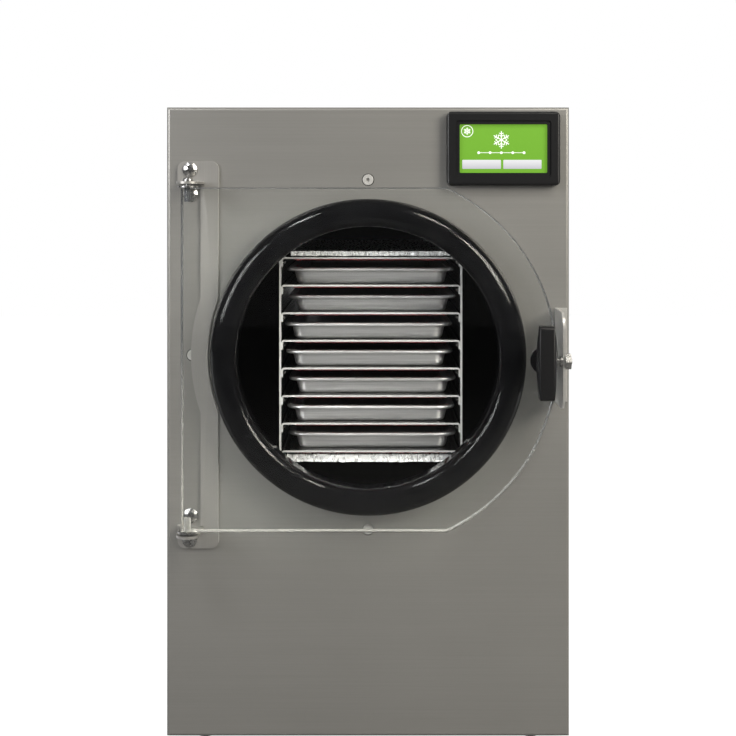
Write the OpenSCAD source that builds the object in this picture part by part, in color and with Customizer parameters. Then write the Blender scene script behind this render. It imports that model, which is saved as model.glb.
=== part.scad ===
// Benchtop freeze dryer: a sheet-metal cabinet round a horizontal vacuum drum, with a clear
// door on a pin hinge, a heated rack of shelves and trays, and the refrigeration plant below.
// +Z is up, the front faces -Y and the origin lies under the middle of the whole machine.
// Distances called "d" run forwards from the outer face of the front sheet.

/* [Cabinet] */
// Width of the cabinet
body_w = 508; // [500:1:560]
// Room between the drum's inner rear face and the back panel
rear_space = 36.5; // [32:0.5:60]
// Thickness of the cabinet sheet
sheet = 1.5; // [1:0.1:2]
// Outer radius of the folded edges
fold_r = 4; // [3:0.5:6]
// Depth of the front panel's and the top's returns
return_d = 20; // [16:1:26]
// Gap between two cabinet panels
seam = 0.4; // [0.2:0.1:1]
// Height of the rubber feet under the cabinet
foot_h = 12; // [8:1:25]
// Radius of a foot
foot_r = 16; // [12:1:22]
// Distance of the feet from the cabinet's edges
foot_inset = 45; // [40:1:80]
// Width of the side panels' inward flanges
side_flange = 16; // [15:0.5:20]
// Number of vent slots in a column on each side
vent_count = 9; // [4:1:11]
// Distance between two vent slots
vent_pitch = 16; // [14:1:20]

/* [Chamber] */
// Height of the chamber's axis above the cabinet's bottom
chamber_h = 482; // [478:1:500]
// Inner radius of the drum
drum_r = 181; // [180.6:0.2:184]
// Wall of the drum
drum_wall = 2; // [1.5:0.1:3]
// Radius of the knuckle at the drum's rear head
knuckle_r = 24; // [10:1:30]
// Length of the drum's neck in front of the front sheet
neck_l = 9; // [5:0.5:14]
// Outer radius of the drum's mounting flange
flange_r = 232; // [229:1:236]
// Thickness of the mounting flange
flange_t = 6; // [5:0.5:8]
// Depth of the spot faces under the chamber screws' heads
spot_d = 2.4; // [2:0.2:3]
// Radius of the clearance holes round the chamber screws' heads
spot_r = 7.8; // [7.6:0.2:9.4]
// Radius of the circle of chamber screws
screw_circle = 220.5; // [216:0.5:222]
// Radius of the chamber screws' heads
chamber_head_r = 7; // [6:0.1:7.2]
// Radius of the chamber screws' shanks
chamber_shank = 3; // [2:0.25:3.5]
// Thickness of the foam round the cooling coil
foam_t = 24; // [15:1:25]
// Thickness of the foam behind the drum's rear head
foam_back = 20; // [10:1:22]
// Radius of the cooling coil's tube
coil_tube_r = 4.8; // [3:0.1:5]
// Turns of the cooling coil
coil_turns = 9; // [4:1:14]

/* [Gasket] */
// Outer radius of the door gasket
gasket_ro = 196.5; // [194:0.5:198]
// Inner radius of the door gasket
gasket_ri = 162; // [155:0.5:170]
// How far the gasket stands in front of the cabinet
gasket_d = 38.5; // [30:0.5:45]

/* [Door] */
// Radius of the door's round side
door_r = 231; // [228:0.5:232]
// Half height of the door
door_half_h = 210; // [204:0.5:214]
// Distance from the chamber's axis to the door's hinge edge
door_left = 228; // [224:0.5:230]
// Thickness of the door
door_t = 22; // [15:0.5:24]
// Gap between the closed door and the gasket
door_gap = 0.3; // [0.2:0.1:0.6]
// Polished chamfer round the door
door_chamfer = 1.2; // [0.5:0.1:2]

/* [Hinge] */
// Radius of the hinge pins
pin_r = 4; // [3:0.25:5]
// Distance of the pins from the door's hinge edge
pin_edge = 7.4; // [7:0.1:9]
// Depth of the pins in the door
pin_depth = 16; // [10:1:24]
// Running clearance of the pins in the door
pin_fit = 0.08; // [0.05:0.01:0.1]
// Thickness of the hinge plate and its ears
hinge_t = 3; // [2:0.25:4]
// Radius of the ears round the pins
ear_r = 14; // [12:0.5:16]
// Gap between the door's edge and an ear
ear_gap = 4.8; // [4:0.1:8]
// Thickness of the washers
washer_t = 2; // [1:0.25:2.5]
// Radius of the washers
washer_r = 12.5; // [9:0.5:14]
// Distance from the chamber's axis to the plate's outer edge
plate_left = 240; // [238:0.5:243]
// Distance from the chamber's axis to the strip's outer edge
strip_out = 210; // [206:0.5:214]
// Distance from the chamber's axis to the strip's inner edge
strip_in = 188; // [184:0.5:192]
// Height of the pads beyond the ears
pad_h = 29; // [26:0.5:34]
// Corner radius of the hinge plate
plate_corner = 10; // [4:0.5:12]
// Gap between the gasket and the strip's bulge
bulge_gap = 4.5; // [2:0.5:6]

/* [Latch] */
// Distance of the handle's axis from the chamber's axis
handle_x = 213.5; // [211:0.5:215]
// Length of the handle's bar
bar_l = 89; // [80:1:100]
// Width of the bar at its middle
bar_w = 23; // [20:0.5:28]
// Width of the bar at its ends
bar_end_w = 16.5; // [12:0.5:19]
// Thickness of the bar
bar_t = 18; // [14:0.5:20]
// Length of the neck between the cam and the bar
neck_d = 16; // [15.5:0.5:20]
// Radius of the neck
handle_neck_r = 7.5; // [6.5:0.25:8]
// Radius of the latch cam
cam_r = 16.5; // [14:0.5:18]
// Thickness of the latch cam
cam_t = 6; // [4:0.5:8]
// Distance from the handle's axis to the cam's flat
cam_flat = 6; // [4.5:0.5:7]
// Radius of the spindle
spindle_r = 5; // [4:0.25:6]
// Running clearance of the spindle in the door
spindle_fit = 0.08; // [0.05:0.01:0.1]
// Radius of the latch pin
latch_pin_r = 4; // [3:0.25:4.5]
// Gap between the cam and the latch pin
latch_gap = 0.5; // [0.3:0.1:1]
// Distance from the chamber's axis to the bracket's inner face
bracket_x = 235; // [234:0.5:237]
// Thickness of the bracket
bracket_t = 3; // [2:0.25:4]
// Height of the bracket
bracket_h = 118; // [90:1:140]
// How far the bracket stands forwards
bracket_d = 77; // [75.5:0.5:78]
// Width of the bracket's foot
bracket_foot = 16; // [12:0.5:17]
// Radius of the bracket's front corners
bracket_corner = 20; // [8:1:30]

/* [Rack] */
// Number of shelves
shelf_count = 8; // [8:1:8]
// Distance between two shelves
shelf_pitch = 35; // [34:0.25:35]
// Thickness of a shelf
shelf_t = 2.2; // [1.5:0.1:3]
// Height of a shelf's turned-down ends
shelf_leg = 12; // [11:0.5:12]
// Width of the rack over its side plates
rack_w = 232; // [231:0.5:232]
// Thickness of the side plates
rack_plate_t = 2.5; // [1.5:0.25:3]
// Length of the rack beyond the trays at each end
rack_end = 6; // [6:0.5:12]
// Distance of the rack behind the front sheet
rack_back = 15; // [8:1:16]
// Gap between the rack and the knuckle of the drum's rear head
head_gap = 1; // [0.5:0.5:6]
// Sideways place of the rack in the drum
rack_x = 3.5; // [0:0.5:3.5]
// Clearance between the rack and the drum
rack_fit = 0.4; // [0.3:0.1:1]
// Thickness of the heater mats
heater_t = 1.6; // [1:0.1:2]
// Thickness of the foil pad on the rack
top_foil_t = 9; // [6:0.5:10]
// Thickness of the foil pad under the rack
bottom_foil_t = 12.5; // [8:0.5:13]

/* [Trays] */
// Width of a tray over its rim
tray_w = 215; // [205:0.5:216]
// Length of a tray over its rim
tray_l = 480; // [460:1:500]
// Height of a tray
tray_h = 21; // [18:0.5:22]
// Thickness of the tray's sheet
tray_t = 0.9; // [0.6:0.1:1.2]
// Radius of the rolled rim
rim_r = 2.2; // [1.5:0.1:2.5]
// Width of the lip inside the rolled rim
lip_w = 4; // [2:0.5:6]
// Corner radius of a tray at its rim
tray_corner = 24; // [20:1:32]
// Slope of a tray's wall over its height
tray_draft = 5; // [3:0.5:7]
// Radius between a tray's floor and wall
tray_fillet = 6; // [4:0.5:8]

/* [Display] */
// Width of the display's bezel
display_w = 142.5; // [130:0.5:146]
// Height of the display's bezel
display_h = 93; // [86:0.5:94]
// How far the bezel stands in front of the cabinet
display_d = 12; // [9:0.5:16]
// Width of the screen
screen_w = 110; // [100:0.5:112]
// Height of the screen
screen_h = 61; // [55:0.5:64]
// Distance of the bezel from the cabinet's side
display_side = 12.7; // [8:0.1:16]
// Distance of the bezel from the cabinet's top
display_top = 6; // [5.5:0.5:8]
// Gap between the bezel and the drum's mounting flange
display_gap = 3; // [2:0.5:30]

/* [Cooling plant] */
// Radius of the compressor's shell
compressor_r = 74; // [60:1:78]
// Height of the compressor's shell
compressor_h = 150; // [120:1:155]
// Width of the condenser
condenser_w = 208; // [190:2:216]
// Height of the condenser
condenser_h = 196; // [186:2:200]
// Depth of the condenser
condenser_d = 42; // [30:1:46]
// Radius of the fan
fan_r = 82; // [70:1:84]
// Number of fan blades
blade_count = 5; // [3:1:7]
// Radius of the refrigerant tubes
tube_r = 4; // [3:0.25:5]

/* [Rear fittings] */
// Outer radius of the vacuum port
port_r = 12.7; // [10:0.1:14]
// Bore radius of the vacuum port
port_bore = 11; // [8:0.1:11.5]
// How far the vacuum port stands behind the back panel
port_out = 40; // [30:1:44]
// Outer radius of the drain pipe
drain_r = 6; // [5:0.25:7]
// How far the drain valve stands behind the back panel
valve_out = 45; // [44.5:0.5:52]

/* [Hidden] */
$fn = 72;
eps = 0.01;

// Colours
brushed = [0.56, 0.55, 0.52];
bright = [0.8, 0.8, 0.8];
black = [0.06, 0.06, 0.07];
clear = [0.85, 0.9, 0.9, 0.3];
copper = [0.72, 0.45, 0.3];

// Sizes that follow from what goes inside
rack_len = tray_l + 2 * rack_end;
drum_len = rack_back + rack_len + head_gap + knuckle_r;
body_d = drum_len + rear_space + sheet;
display_inner = body_w / 2 - display_side - display_w;
display_rise = round(sqrt(pow(flange_r, 2) - pow(display_inner, 2))) + display_gap;
body_h = chamber_h + display_rise + display_h + display_top;

// Places that follow from the sizes
door_back = gasket_d + door_gap;
door_front = door_back + door_t;
pin_x = -(door_left - pin_edge);
pin_d = door_back + door_t / 2;
cam_back = door_front + 0.3;
cam_front = cam_back + cam_t;
latch_pin_d = cam_front + latch_gap + latch_pin_r;
bar_back = cam_front + neck_d;
front_reach = bar_back + bar_t;
rear_reach = max(port_out, valve_out);
front_y = (front_reach - body_d - rear_reach) / 2;
back_y = front_y + body_d;
inner_back_y = back_y - sheet;
top_z = foot_h + body_h;
chamber_z = foot_h + chamber_h;
floor_z = foot_h + 2 * sheet;
ear_z = door_half_h + ear_gap;
drum_ro = drum_r + drum_wall;
coil_r = drum_ro + coil_tube_r + 0.2;
foam_ri = coil_r + coil_tube_r + 0.4;
foam_ro = foam_ri + foam_t;
head_y = front_y + drum_len;
fit = 0.05;

// ---------------------------------------------------------------- shared shapes

// Rectangle with its own radius at each corner, from the lower left one round
module rounded(w, h, r) {
    centres = [[0, 0], [w, 0], [w, h], [0, h]];
    difference() {
        square([w, h]);
        for (i = [0:3])
            if (r[i] > 0)
                translate(centres[i]) rotate(90 * i) difference() {
                    translate([-1, -1]) square(r[i] + 1);
                    translate([r[i], r[i]]) circle(r[i]);
                }
    }
}

// The same, centred and with one radius
module rounded_rect(w, h, r) {
    translate([-w / 2, -h / 2]) rounded(w, h, [r, r, r, r]);
}

// Slot with round ends, lying along the first axis
module slot(l, w) {
    square([l - w, w], center = true);
    for (side = [-1, 1])
        translate([side * (l - w) / 2, 0]) circle(w / 2);
}

// Stands a flat outline up, facing forwards, d in front of the sheet and at height z
module front_plate(d, t, z = chamber_z) {
    translate([0, front_y - d, z]) rotate([90, 0, 0]) linear_extrude(t) children();
}

// Turns a section of (radius, d) about the chamber's axis
module turned(d = 0) {
    translate([0, front_y - d, chamber_z]) rotate([90, 0, 0]) rotate_extrude($fn = 180) children();
}

// Extrudes an outline of (y, z) along X, centred
module along_x(l) {
    rotate([90, 0, 90]) linear_extrude(l, center = true) children();
}

// Block of a flat outline with its front edges rounded
module crowned(w, h, t, r) {
    intersection() {
        linear_extrude(t) children();
        rotate([90, 0, 0]) linear_extrude(h + 2, center = true)
            translate([-w / 2, 0]) rounded(w, t, [0, 0, r, r]);
        rotate([90, 0, 90]) linear_extrude(w + 2, center = true)
            translate([-h / 2, 0]) rounded(h, t, [0, 0, r, r]);
    }
}

// Sweeps a section round a rectangle; its x runs outwards from the corners' centres
module swept_frame(w, l, r) {
    corners = [[1, 1], [-1, 1], [-1, -1], [1, -1]];
    for (i = [0:3])
        translate([corners[i][0] * (w / 2 - r), corners[i][1] * (l / 2 - r), 0])
            rotate(90 * i) rotate_extrude(angle = 90) children();
    for (turn = [0, 180]) rotate(turn) {
        translate([w / 2 - r, l / 2 - r, 0]) rotate([90, 0, 0])
            linear_extrude(l - 2 * r) children();
        translate([-(w / 2 - r), l / 2 - r, 0]) rotate([90, 0, 90])
            linear_extrude(w - 2 * r) children();
    }
}

// Domed profile of a screw's head over its shank, for rotate_extrude
module screw_profile(head_r, head_h, shank_r, shank_l) {
    dome = head_h * 0.75;
    dome_r = (head_r * head_r + dome * dome) / (2 * dome);
    intersection() {
        square([head_r, head_h]);
        translate([0, head_h - dome_r]) circle(dome_r);
    }
    translate([0, -shank_l]) square([shank_r, shank_l + eps]);
}

// Tube through a list of points that turns by right angles, with bent elbows
module bent_tube(points, r, bend) {
    last = len(points) - 1;
    for (i = [0:last - 1]) {
        a = points[i];
        b = points[i + 1];
        way = (b - a) / norm(b - a);
        start = i == 0 ? 0 : bend;
        stop = norm(b - a) - (i == last - 1 ? 0 : bend);
        translate(a + way * start) aim(way) cylinder(r = r, h = stop - start);
    }
    for (i = [1:last - 1]) {
        into = (points[i] - points[i - 1]) / norm(points[i] - points[i - 1]);
        out = (points[i + 1] - points[i]) / norm(points[i + 1] - points[i]);
        side = cross(into, out);
        // columns: outwards from the bend's centre, along the tube, and the bend's own axis
        multmatrix([
            [-out[0], into[0], side[0], points[i][0] + bend * (out[0] - into[0])],
            [-out[1], into[1], side[1], points[i][1] + bend * (out[1] - into[1])],
            [-out[2], into[2], side[2], points[i][2] + bend * (out[2] - into[2])],
            [0, 0, 0, 1]])
            rotate_extrude(angle = 90, $fn = 48) translate([bend, 0]) circle(r, $fn = 32);
    }
}

// Turns +Z to one of the main directions
module aim(way) {
    rotate([way[1] < 0 ? 90 : way[1] > 0 ? -90 : way[2] < 0 ? 180 : 0,
        way[0] > 0 ? 90 : way[0] < 0 ? -90 : 0, 0]) children();
}

// ---------------------------------------------------------------- cabinet

// Folded block of the front pan, each face set in by the same amount
module front_block(inset, depth) {
    r = fold_r - inset;
    w = body_w - 2 * inset;
    h = body_h - 2 * inset;
    intersection() {
        translate([-w / 2, front_y + inset, foot_h]) linear_extrude(body_h)
            rounded(w, depth, [r, r, 0, 0]);
        along_x(body_w) translate([front_y + inset, foot_h + inset])
            rounded(depth, h, [r, 0, 0, r]);
    }
}

module front_panel() {
    color(brushed) difference() {
        front_block(0, return_d);
        front_block(sheet, return_d);
        turned(-sheet - 1) square([drum_ro + 0.2, sheet + 2]);
        chamber_screw_places() translate([0, 0, -1 - sheet])
            cylinder(r = spot_r, h = sheet + 2);
        translate([display_x, 0, 0]) front_plate(-sheet - 1, sheet + 2, display_z)
            square([module_w + 2 * fit, module_h + 2 * fit], center = true);
        hinge_screw_places() cylinder(r = pan_shank + fit, h = 3 * sheet + 2 * hinge_t, center = true);
    }
}

// Side panel with inward flanges at its front and rear, for the right side
module side_panel() {
    x = body_w / 2;
    y = front_y + return_d + seam;
    l = inner_back_y - y;
    h = body_h - return_d - seam;
    bend = sheet + 1;
    difference() {
        translate([x - side_flange, y, foot_h]) linear_extrude(h) difference() {
            rounded(side_flange, l, [0, bend, bend, 0]);
            translate([-1, sheet]) rounded(side_flange - sheet + 1, l - 2 * sheet,
                [0, bend - sheet, bend - sheet, 0]);
        }
        back_screw_places() cylinder(r = back_shank + fit, h = 6 * sheet, center = true);
        for (column = [0, 1], i = [0:vent_count - 1])
            translate([x, inner_back_y - 70 - 80 * column, foot_h + 50 + i * vent_pitch])
                along_x(4 * sheet) slot(60, 6);
    }
}

module right_side_panel() {
    color(brushed) side_panel();
}

module left_side_panel() {
    color(brushed) mirror([1, 0, 0]) side_panel();
}

// Top cover: a sheet whose sides are turned down
module top_panel() {
    y = front_y + return_d + seam;
    color(brushed) translate([0, y, top_z - return_d]) mirror([0, 1, 0]) rotate([90, 0, 0])
        linear_extrude(inner_back_y - y) difference() {
            translate([-body_w / 2, 0]) rounded(body_w, return_d, [0, 0, fold_r, fold_r]);
            translate([sheet - body_w / 2, -1])
                rounded(body_w - 2 * sheet, return_d - sheet + 1,
                    [0, 0, fold_r - sheet, fold_r - sheet]);
        }
}

// Heights of the back panel's screws, in the side panels' flanges
back_screw_z = [foot_h + 12, foot_h + body_h / 3, foot_h + 2 * body_h / 3, top_z - return_d - 12];

// Puts its children at the back panel's screws, with +Z rearwards
module back_screw_places() {
    for (side = [-1, 1], z = back_screw_z)
        translate([side * (body_w / 2 - side_flange / 2 - 1), back_y, z]) rotate([-90, 0, 0]) children();
}

// Flat panel with a grille of ring slots and the cut-outs of the rear fittings
module back_panel() {
    grille_r = fan_r - 4;
    rings = 6;
    slot_w = 6;
    color(brushed) difference() {
        translate([0, back_y, foot_h]) rotate([90, 0, 0]) linear_extrude(sheet)
            translate([-body_w / 2, 0]) rounded(body_w, body_h, [3, 3, 3, 3]);
        // ring slots of the fan grille, between four spokes
        translate([fan_x, back_y, fan_z]) rotate([90, 0, 0])
            linear_extrude(4 * sheet, center = true) difference() {
                for (i = [1:rings]) difference() {
                    circle(grille_r * i / rings);
                    circle(grille_r * i / rings - slot_w);
                }
                for (turn = [45, 135]) rotate(turn) square([2 * grille_r + 2, slot_w], center = true);
            }
        back_screw_places() cylinder(r = back_shank + fit, h = 4 * sheet, center = true);
        translate([port_x, back_y, chamber_z + port_z]) rotate([90, 0, 0])
            cylinder(r = port_r + 0.5, h = 4 * sheet, center = true);
        translate([drain_x, back_y, drain_z]) rotate([90, 0, 0])
            cylinder(r = drain_r + 0.5, h = 4 * sheet, center = true);
        for (z = [inlet_z, outlet_z]) translate([socket_x, back_y, z]) rotate([90, 0, 0])
            linear_extrude(4 * sheet, center = true)
                square([socket_w + 2 * fit, socket_h + 2 * fit], center = true);
        translate([socket_x, back_y, switch_z]) rotate([90, 0, 0])
            linear_extrude(4 * sheet, center = true)
                square([switch_w + 2 * fit, switch_h + 2 * fit], center = true);
    }
}

// Floor pan with turned-up edges, lying on the front panel's lower return
module base_pan() {
    w = body_w - 2 * sheet - 2 * seam;
    l = inner_back_y - front_y - sheet - seam;
    h = 26;
    bend = fold_r - sheet - seam;
    notch_w = side_flange - sheet;
    notch_l = sheet + 2 * seam;
    color(brushed) translate([-w / 2, front_y + sheet + seam, foot_h + sheet]) difference() {
        // its front edge stays behind the bend of the front panel
        translate([0, bend, 0]) cube([w, l - bend, h]);
        translate([sheet, bend + sheet, sheet]) cube([w - 2 * sheet, l - bend - 2 * sheet, h]);
        // notches that clear the side panels' front and rear flanges
        for (x = [-1, w - notch_w], y = [return_d - sheet - seam, l - notch_l + seam])
            translate([x, y, -1]) cube([notch_w + 1, notch_l, h + 2]);
    }
}

// Four rubber feet, each a tapered cup with a steel-washer seat
module feet() {
    color(black) for (x = [-1, 1], y = [0, 1])
        translate([x * (body_w / 2 - foot_inset),
            y == 0 ? front_y + foot_inset : back_y - foot_inset, 0])
            rotate_extrude() difference() {
                polygon([[0, 0], [foot_r - 2, 0], [foot_r - 1, 1],
                    [foot_r, foot_h + sheet], [0, foot_h + sheet]]);
                translate([0, -1]) square([foot_r / 3, foot_h / 2 + 1]);
            }
}

// ---------------------------------------------------------------- chamber

// Outline of one side of a round can with a knuckle at its far end
module can_profile(r, l, knuckle) {
    rounded(r, l, [0, 0, knuckle, 0]);
}

// Vacuum drum: a tube, a rear head with a knuckle, and a mounting ring round the neck
module chamber_drum() {
    weld = 0.1;
    tube_l = drum_len - knuckle_r;
    color(black) {
        difference() {
            turned(-tube_l) translate([drum_r, 0]) square([drum_wall, tube_l + neck_l]);
            translate([0, drain_y, chamber_z - drum_r]) cylinder(r = drain_r + fit, h = 30, center = true);
        }
        difference() {
            translate([0, front_y, chamber_z]) rotate([-90, 0, 0]) rotate_extrude($fn = 180)
                difference() {
                    can_profile(drum_ro, drum_len + drum_wall, knuckle_r + drum_wall);
                    can_profile(drum_r, drum_len, knuckle_r);
                    translate([-1, -1]) square([drum_ro + 2, tube_l + weld + 1]);
                }
            translate([port_x, head_y, chamber_z + port_z]) rotate([90, 0, 0])
                cylinder(r = port_r + fit, h = 4 * drum_wall, center = true);
        }
        difference() {
            turned(-sheet - flange_t) translate([drum_ro + weld, 0])
                square([flange_r - drum_ro - weld, flange_t]);
            chamber_screw_places() {
                translate([0, 0, -sheet - flange_t - 1])
                    cylinder(r = chamber_shank + fit, h = flange_t + 2);
                translate([0, 0, -sheet - spot_d]) cylinder(r = spot_r, h = spot_d + 1);
            }
        }
    }
}

// Puts its children at the four chamber screws, with +Z forwards
module chamber_screw_places() {
    for (turn = [0:90:270])
        translate([0, front_y, chamber_z]) rotate([0, turn, 0]) translate([screw_circle, 0, 0])
            rotate([90, 0, 0]) children();
}

// Socket screws on the drum's flange, their low heads just below the front sheet's face
module chamber_screws() {
    head_h = sheet + spot_d - 0.2;
    edge = 0.5;
    color(bright) chamber_screw_places() translate([0, 0, -sheet - spot_d]) difference() {
        rotate_extrude() {
            polygon([[0, 0], [chamber_head_r, 0], [chamber_head_r, head_h - edge],
                [chamber_head_r - edge, head_h], [0, head_h]]);
            translate([0, spot_d - flange_t]) square([chamber_shank, flange_t - spot_d + eps]);
        }
        translate([0, 0, head_h / 3]) cylinder(r = 0.85 * chamber_shank, h = head_h, $fn = 6);
    }
}

// Rubber ring with a groove at its back that takes the drum's neck
module door_gasket() {
    color(black) turned() difference() {
        translate([gasket_ri, 0]) rounded(gasket_ro - gasket_ri, gasket_d, [3, 3, 17, 13]);
        translate([drum_r - 0.2, -1]) square([drum_wall + 0.4, neck_l + 1.3]);
    }
}

coil_y = front_y + 50;
coil_pitch = round((drum_len - 110) / coil_turns);

// Place on a ring's axis below the drum, at x
function coil_under(ring, x) = [x, coil_y + (ring + 0.5) * coil_pitch,
    chamber_z - sqrt(pow(coil_r, 2) - x * x)];

// Evaporator of tube rings on the drum, each joined to the next by a crossover
module cooling_coil() {
    color(copper) for (ring = [0:coil_turns - 1])
        translate([0, coil_under(ring, 0)[1], chamber_z]) rotate([-90, 0, 0]) {
            rotate_extrude($fn = 144) translate([coil_r, 0]) circle(coil_tube_r, $fn = 24);
            if (ring < coil_turns - 1) rotate(ring % 2 == 0 ? 20 : 160) translate([coil_r, 0, 0])
                cylinder(r = coil_tube_r - 0.4, h = coil_pitch, $fn = 24);
        }
}

// Foam jacket of the drum, open where pipes pass
module chamber_insulation() {
    start_y = front_y + sheet + flange_t + 0.4;
    end_y = head_y + drum_wall + foam_back;
    color([0.9, 0.85, 0.6]) difference() {
        translate([0, start_y, chamber_z]) rotate([-90, 0, 0])
            cylinder(r = foam_ro, h = end_y - start_y, $fn = 120);
        translate([0, start_y - 1, chamber_z]) rotate([-90, 0, 0])
            cylinder(r = foam_ri, h = head_y + drum_wall + 0.4 - start_y + 1, $fn = 120);
        translate([port_x, head_y, chamber_z + port_z]) rotate([90, 0, 0])
            cylinder(r = port_r + 0.5, h = 80, center = true);
        translate([0, drain_y, chamber_z - foam_ro - 5]) cylinder(r = drain_r + 0.5, h = foam_t + 20);
        for (p = [suction_top, liquid_top])
            translate([p[0], p[1], chamber_z - foam_ro - 5]) cylinder(r = tube_r + 0.4, h = foam_ro / 2);
    }
}

// Sheet saddle that carries the jacket's rear end on the floor pan
module chamber_saddle() {
    w = 240;
    y = front_y + drum_len - 125;
    seat_r = foam_ro + 0.3;
    rise = chamber_z - floor_z - sqrt(pow(seat_r, 2) - pow(w / 2, 2));
    window_h = rise - 110;
    color(brushed) difference() {
        translate([0, y, floor_z]) {
            translate([-w / 2, 0, 0]) cube([w, 2, rise]);
            translate([-w / 2, 0, 0]) cube([w, 22, 2]);
        }
        translate([0, y - 1, chamber_z]) rotate([-90, 0, 0]) cylinder(r = seat_r, h = 40, $fn = 120);
        // window for the lines
        translate([0, y + 4, floor_z + 8 + window_h / 2]) rotate([90, 0, 0]) linear_extrude(6)
            rounded_rect(w - 70, window_h, 20);
    }
}

// ---------------------------------------------------------------- rack

// Heights of the shelves' tops from the lowest up, measured from the chamber's axis
function shelf_z(i) = (i - (shelf_count - 1) / 2) * shelf_pitch;
rack_y = front_y + rack_back;
shelf_w = rack_w - 2 * rack_plate_t;
shelf_dot = 6.5;

// Side plate that reaches down to the drum
module rack_side(side) {
    outer = rack_x + side * rack_w / 2;
    edge = abs(rack_x) + rack_w / 2;
    low = -sqrt(pow(drum_r - rack_fit, 2) - pow(edge, 2));
    high = shelf_z(shelf_count - 1) - 3;
    translate([side > 0 ? outer - rack_plate_t : outer, rack_y, chamber_z + low]) difference() {
        cube([rack_plate_t, rack_len, high - low]);
        for (i = [0:shelf_count - 1], y = shelf_screw_y)
            translate([rack_plate_t / 2, y, shelf_z(i) - shelf_dot - low]) rotate([0, 90, 0])
                cylinder(r = rivet_r + fit, h = 3 * rack_plate_t, center = true);
    }
}

rivet_r = 1.5;
rivet_out = 3;
shelf_screw_y = [8, rack_len - 8];

module rack_left_side() {
    color(bright) rack_side(-1);
}

module rack_right_side() {
    color(bright) rack_side(1);
}

// Shelf with both ends turned down against the side plates
module shelf(i) {
    bend = 4;
    color(bright) difference() {
        translate([rack_x, rack_y, chamber_z + shelf_z(i)]) rotate([90, 0, 0]) mirror([0, 0, 1])
            linear_extrude(rack_len) difference() {
                translate([-shelf_w / 2, -shelf_leg]) rounded(shelf_w, shelf_leg, [0, 0, bend, bend]);
                translate([shelf_t - shelf_w / 2, -shelf_leg - 1])
                    rounded(shelf_w - 2 * shelf_t, shelf_leg - shelf_t + 1,
                        [0, 0, bend - shelf_t, bend - shelf_t]);
            }
        for (y = shelf_screw_y) translate([rack_x, rack_y + y, chamber_z + shelf_z(i) - shelf_dot])
            rotate([0, 90, 0]) cylinder(r = rivet_r + fit, h = rack_w, center = true);
    }
}

module shelf_1() { shelf(0); }
module shelf_2() { shelf(1); }
module shelf_3() { shelf(2); }
module shelf_4() { shelf(3); }
module shelf_5() { shelf(4); }
module shelf_6() { shelf(5); }
module shelf_7() { shelf(6); }
module shelf_8() { shelf(7); }

// Silicone heater mats under the shelves
module heater_mats() {
    color([0.45, 0.1, 0.1]) for (i = [0:shelf_count - 1])
        translate([rack_x, rack_y + rack_len / 2, chamber_z + shelf_z(i) - shelf_t - heater_t])
            linear_extrude(heater_t) rounded_rect(shelf_w - 30, rack_len - 6, 6);
}

// Small screws with round nuts that hold the shelves in the side plates
module shelf_screws() {
    color(bright) for (side = [-1, 1], i = [0:shelf_count - 1], y = shelf_screw_y)
        translate([rack_x + side * rack_w / 2, rack_y + y, chamber_z + shelf_z(i) - shelf_dot])
            rotate([0, -90 * side, 0]) union() {
                cylinder(r = rivet_r, h = rack_plate_t + shelf_t + rivet_out, $fn = 24);
                translate([0, 0, rack_plate_t + shelf_t]) cylinder(r = 2.6, h = 2.4, $fn = 24);
            }
}

// Section of a tray's floor, wall and rolled rim, from its corner's centre outwards
module tray_section() {
    wall_x = tray_corner - 2 * rim_r - lip_w;
    lean = atan(tray_draft / tray_h);
    f = tray_fillet;
    centre_x = wall_x - f * cos(lean) - (tray_h - f + f * sin(lean)) * tan(lean);
    steps = 6;
    outside = [for (i = [0:steps]) let (a = -90 + (90 - lean) * i / steps)
        [centre_x + f * cos(a), f + f * sin(a)]];
    inside = [for (i = [steps:-1:0]) let (a = -90 + (90 - lean) * i / steps)
        [centre_x + (f - tray_t) * cos(a), f + (f - tray_t) * sin(a)]];
    polygon(concat([[0, 0]], outside, [[wall_x, tray_h]],
        [[wall_x - tray_t / cos(lean), tray_h]], inside, [[0, tray_t]]));
    translate([wall_x - tray_t, tray_h - tray_t]) square([lip_w + rim_r + tray_t, tray_t]);
    translate([tray_corner - rim_r, tray_h - rim_r]) circle(rim_r, $fn = 24);
}

// Small offsets of the trays as they were slid in, as x and y from the lowest up
tray_slips = [[2, 4], [0, 0], [2, 5], [-2, 2], [-3, 1], [2, 4], [0, 2]];

module tray(i) {
    color([0.75, 0.75, 0.75])
        translate([rack_x + tray_slips[i][0], rack_y + 3 + tray_slips[i][1] + tray_l / 2,
            chamber_z + shelf_z(i)]) {
            swept_frame(tray_w, tray_l, tray_corner) tray_section();
            translate([tray_corner - tray_w / 2, tray_corner - tray_l / 2, 0])
                cube([tray_w - 2 * tray_corner, tray_l - 2 * tray_corner, tray_t]);
        }
}

module tray_1() { tray(0); }
module tray_2() { tray(1); }
module tray_3() { tray(2); }
module tray_4() { tray(3); }
module tray_5() { tray(4); }
module tray_6() { tray(5); }
module tray_7() { tray(6); }

// Foil-wrapped pad on the top shelf
module top_foil() {
    w = 210;
    color(bright) translate([rack_x + 1.5, rack_y + 1, chamber_z + shelf_z(shelf_count - 1)])
        rotate([90, 0, 0]) mirror([0, 0, 1]) linear_extrude(rack_len - 2)
            translate([-w / 2, 0]) rounded(w, top_foil_t, [1, 1, 4, 4]);
}

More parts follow.
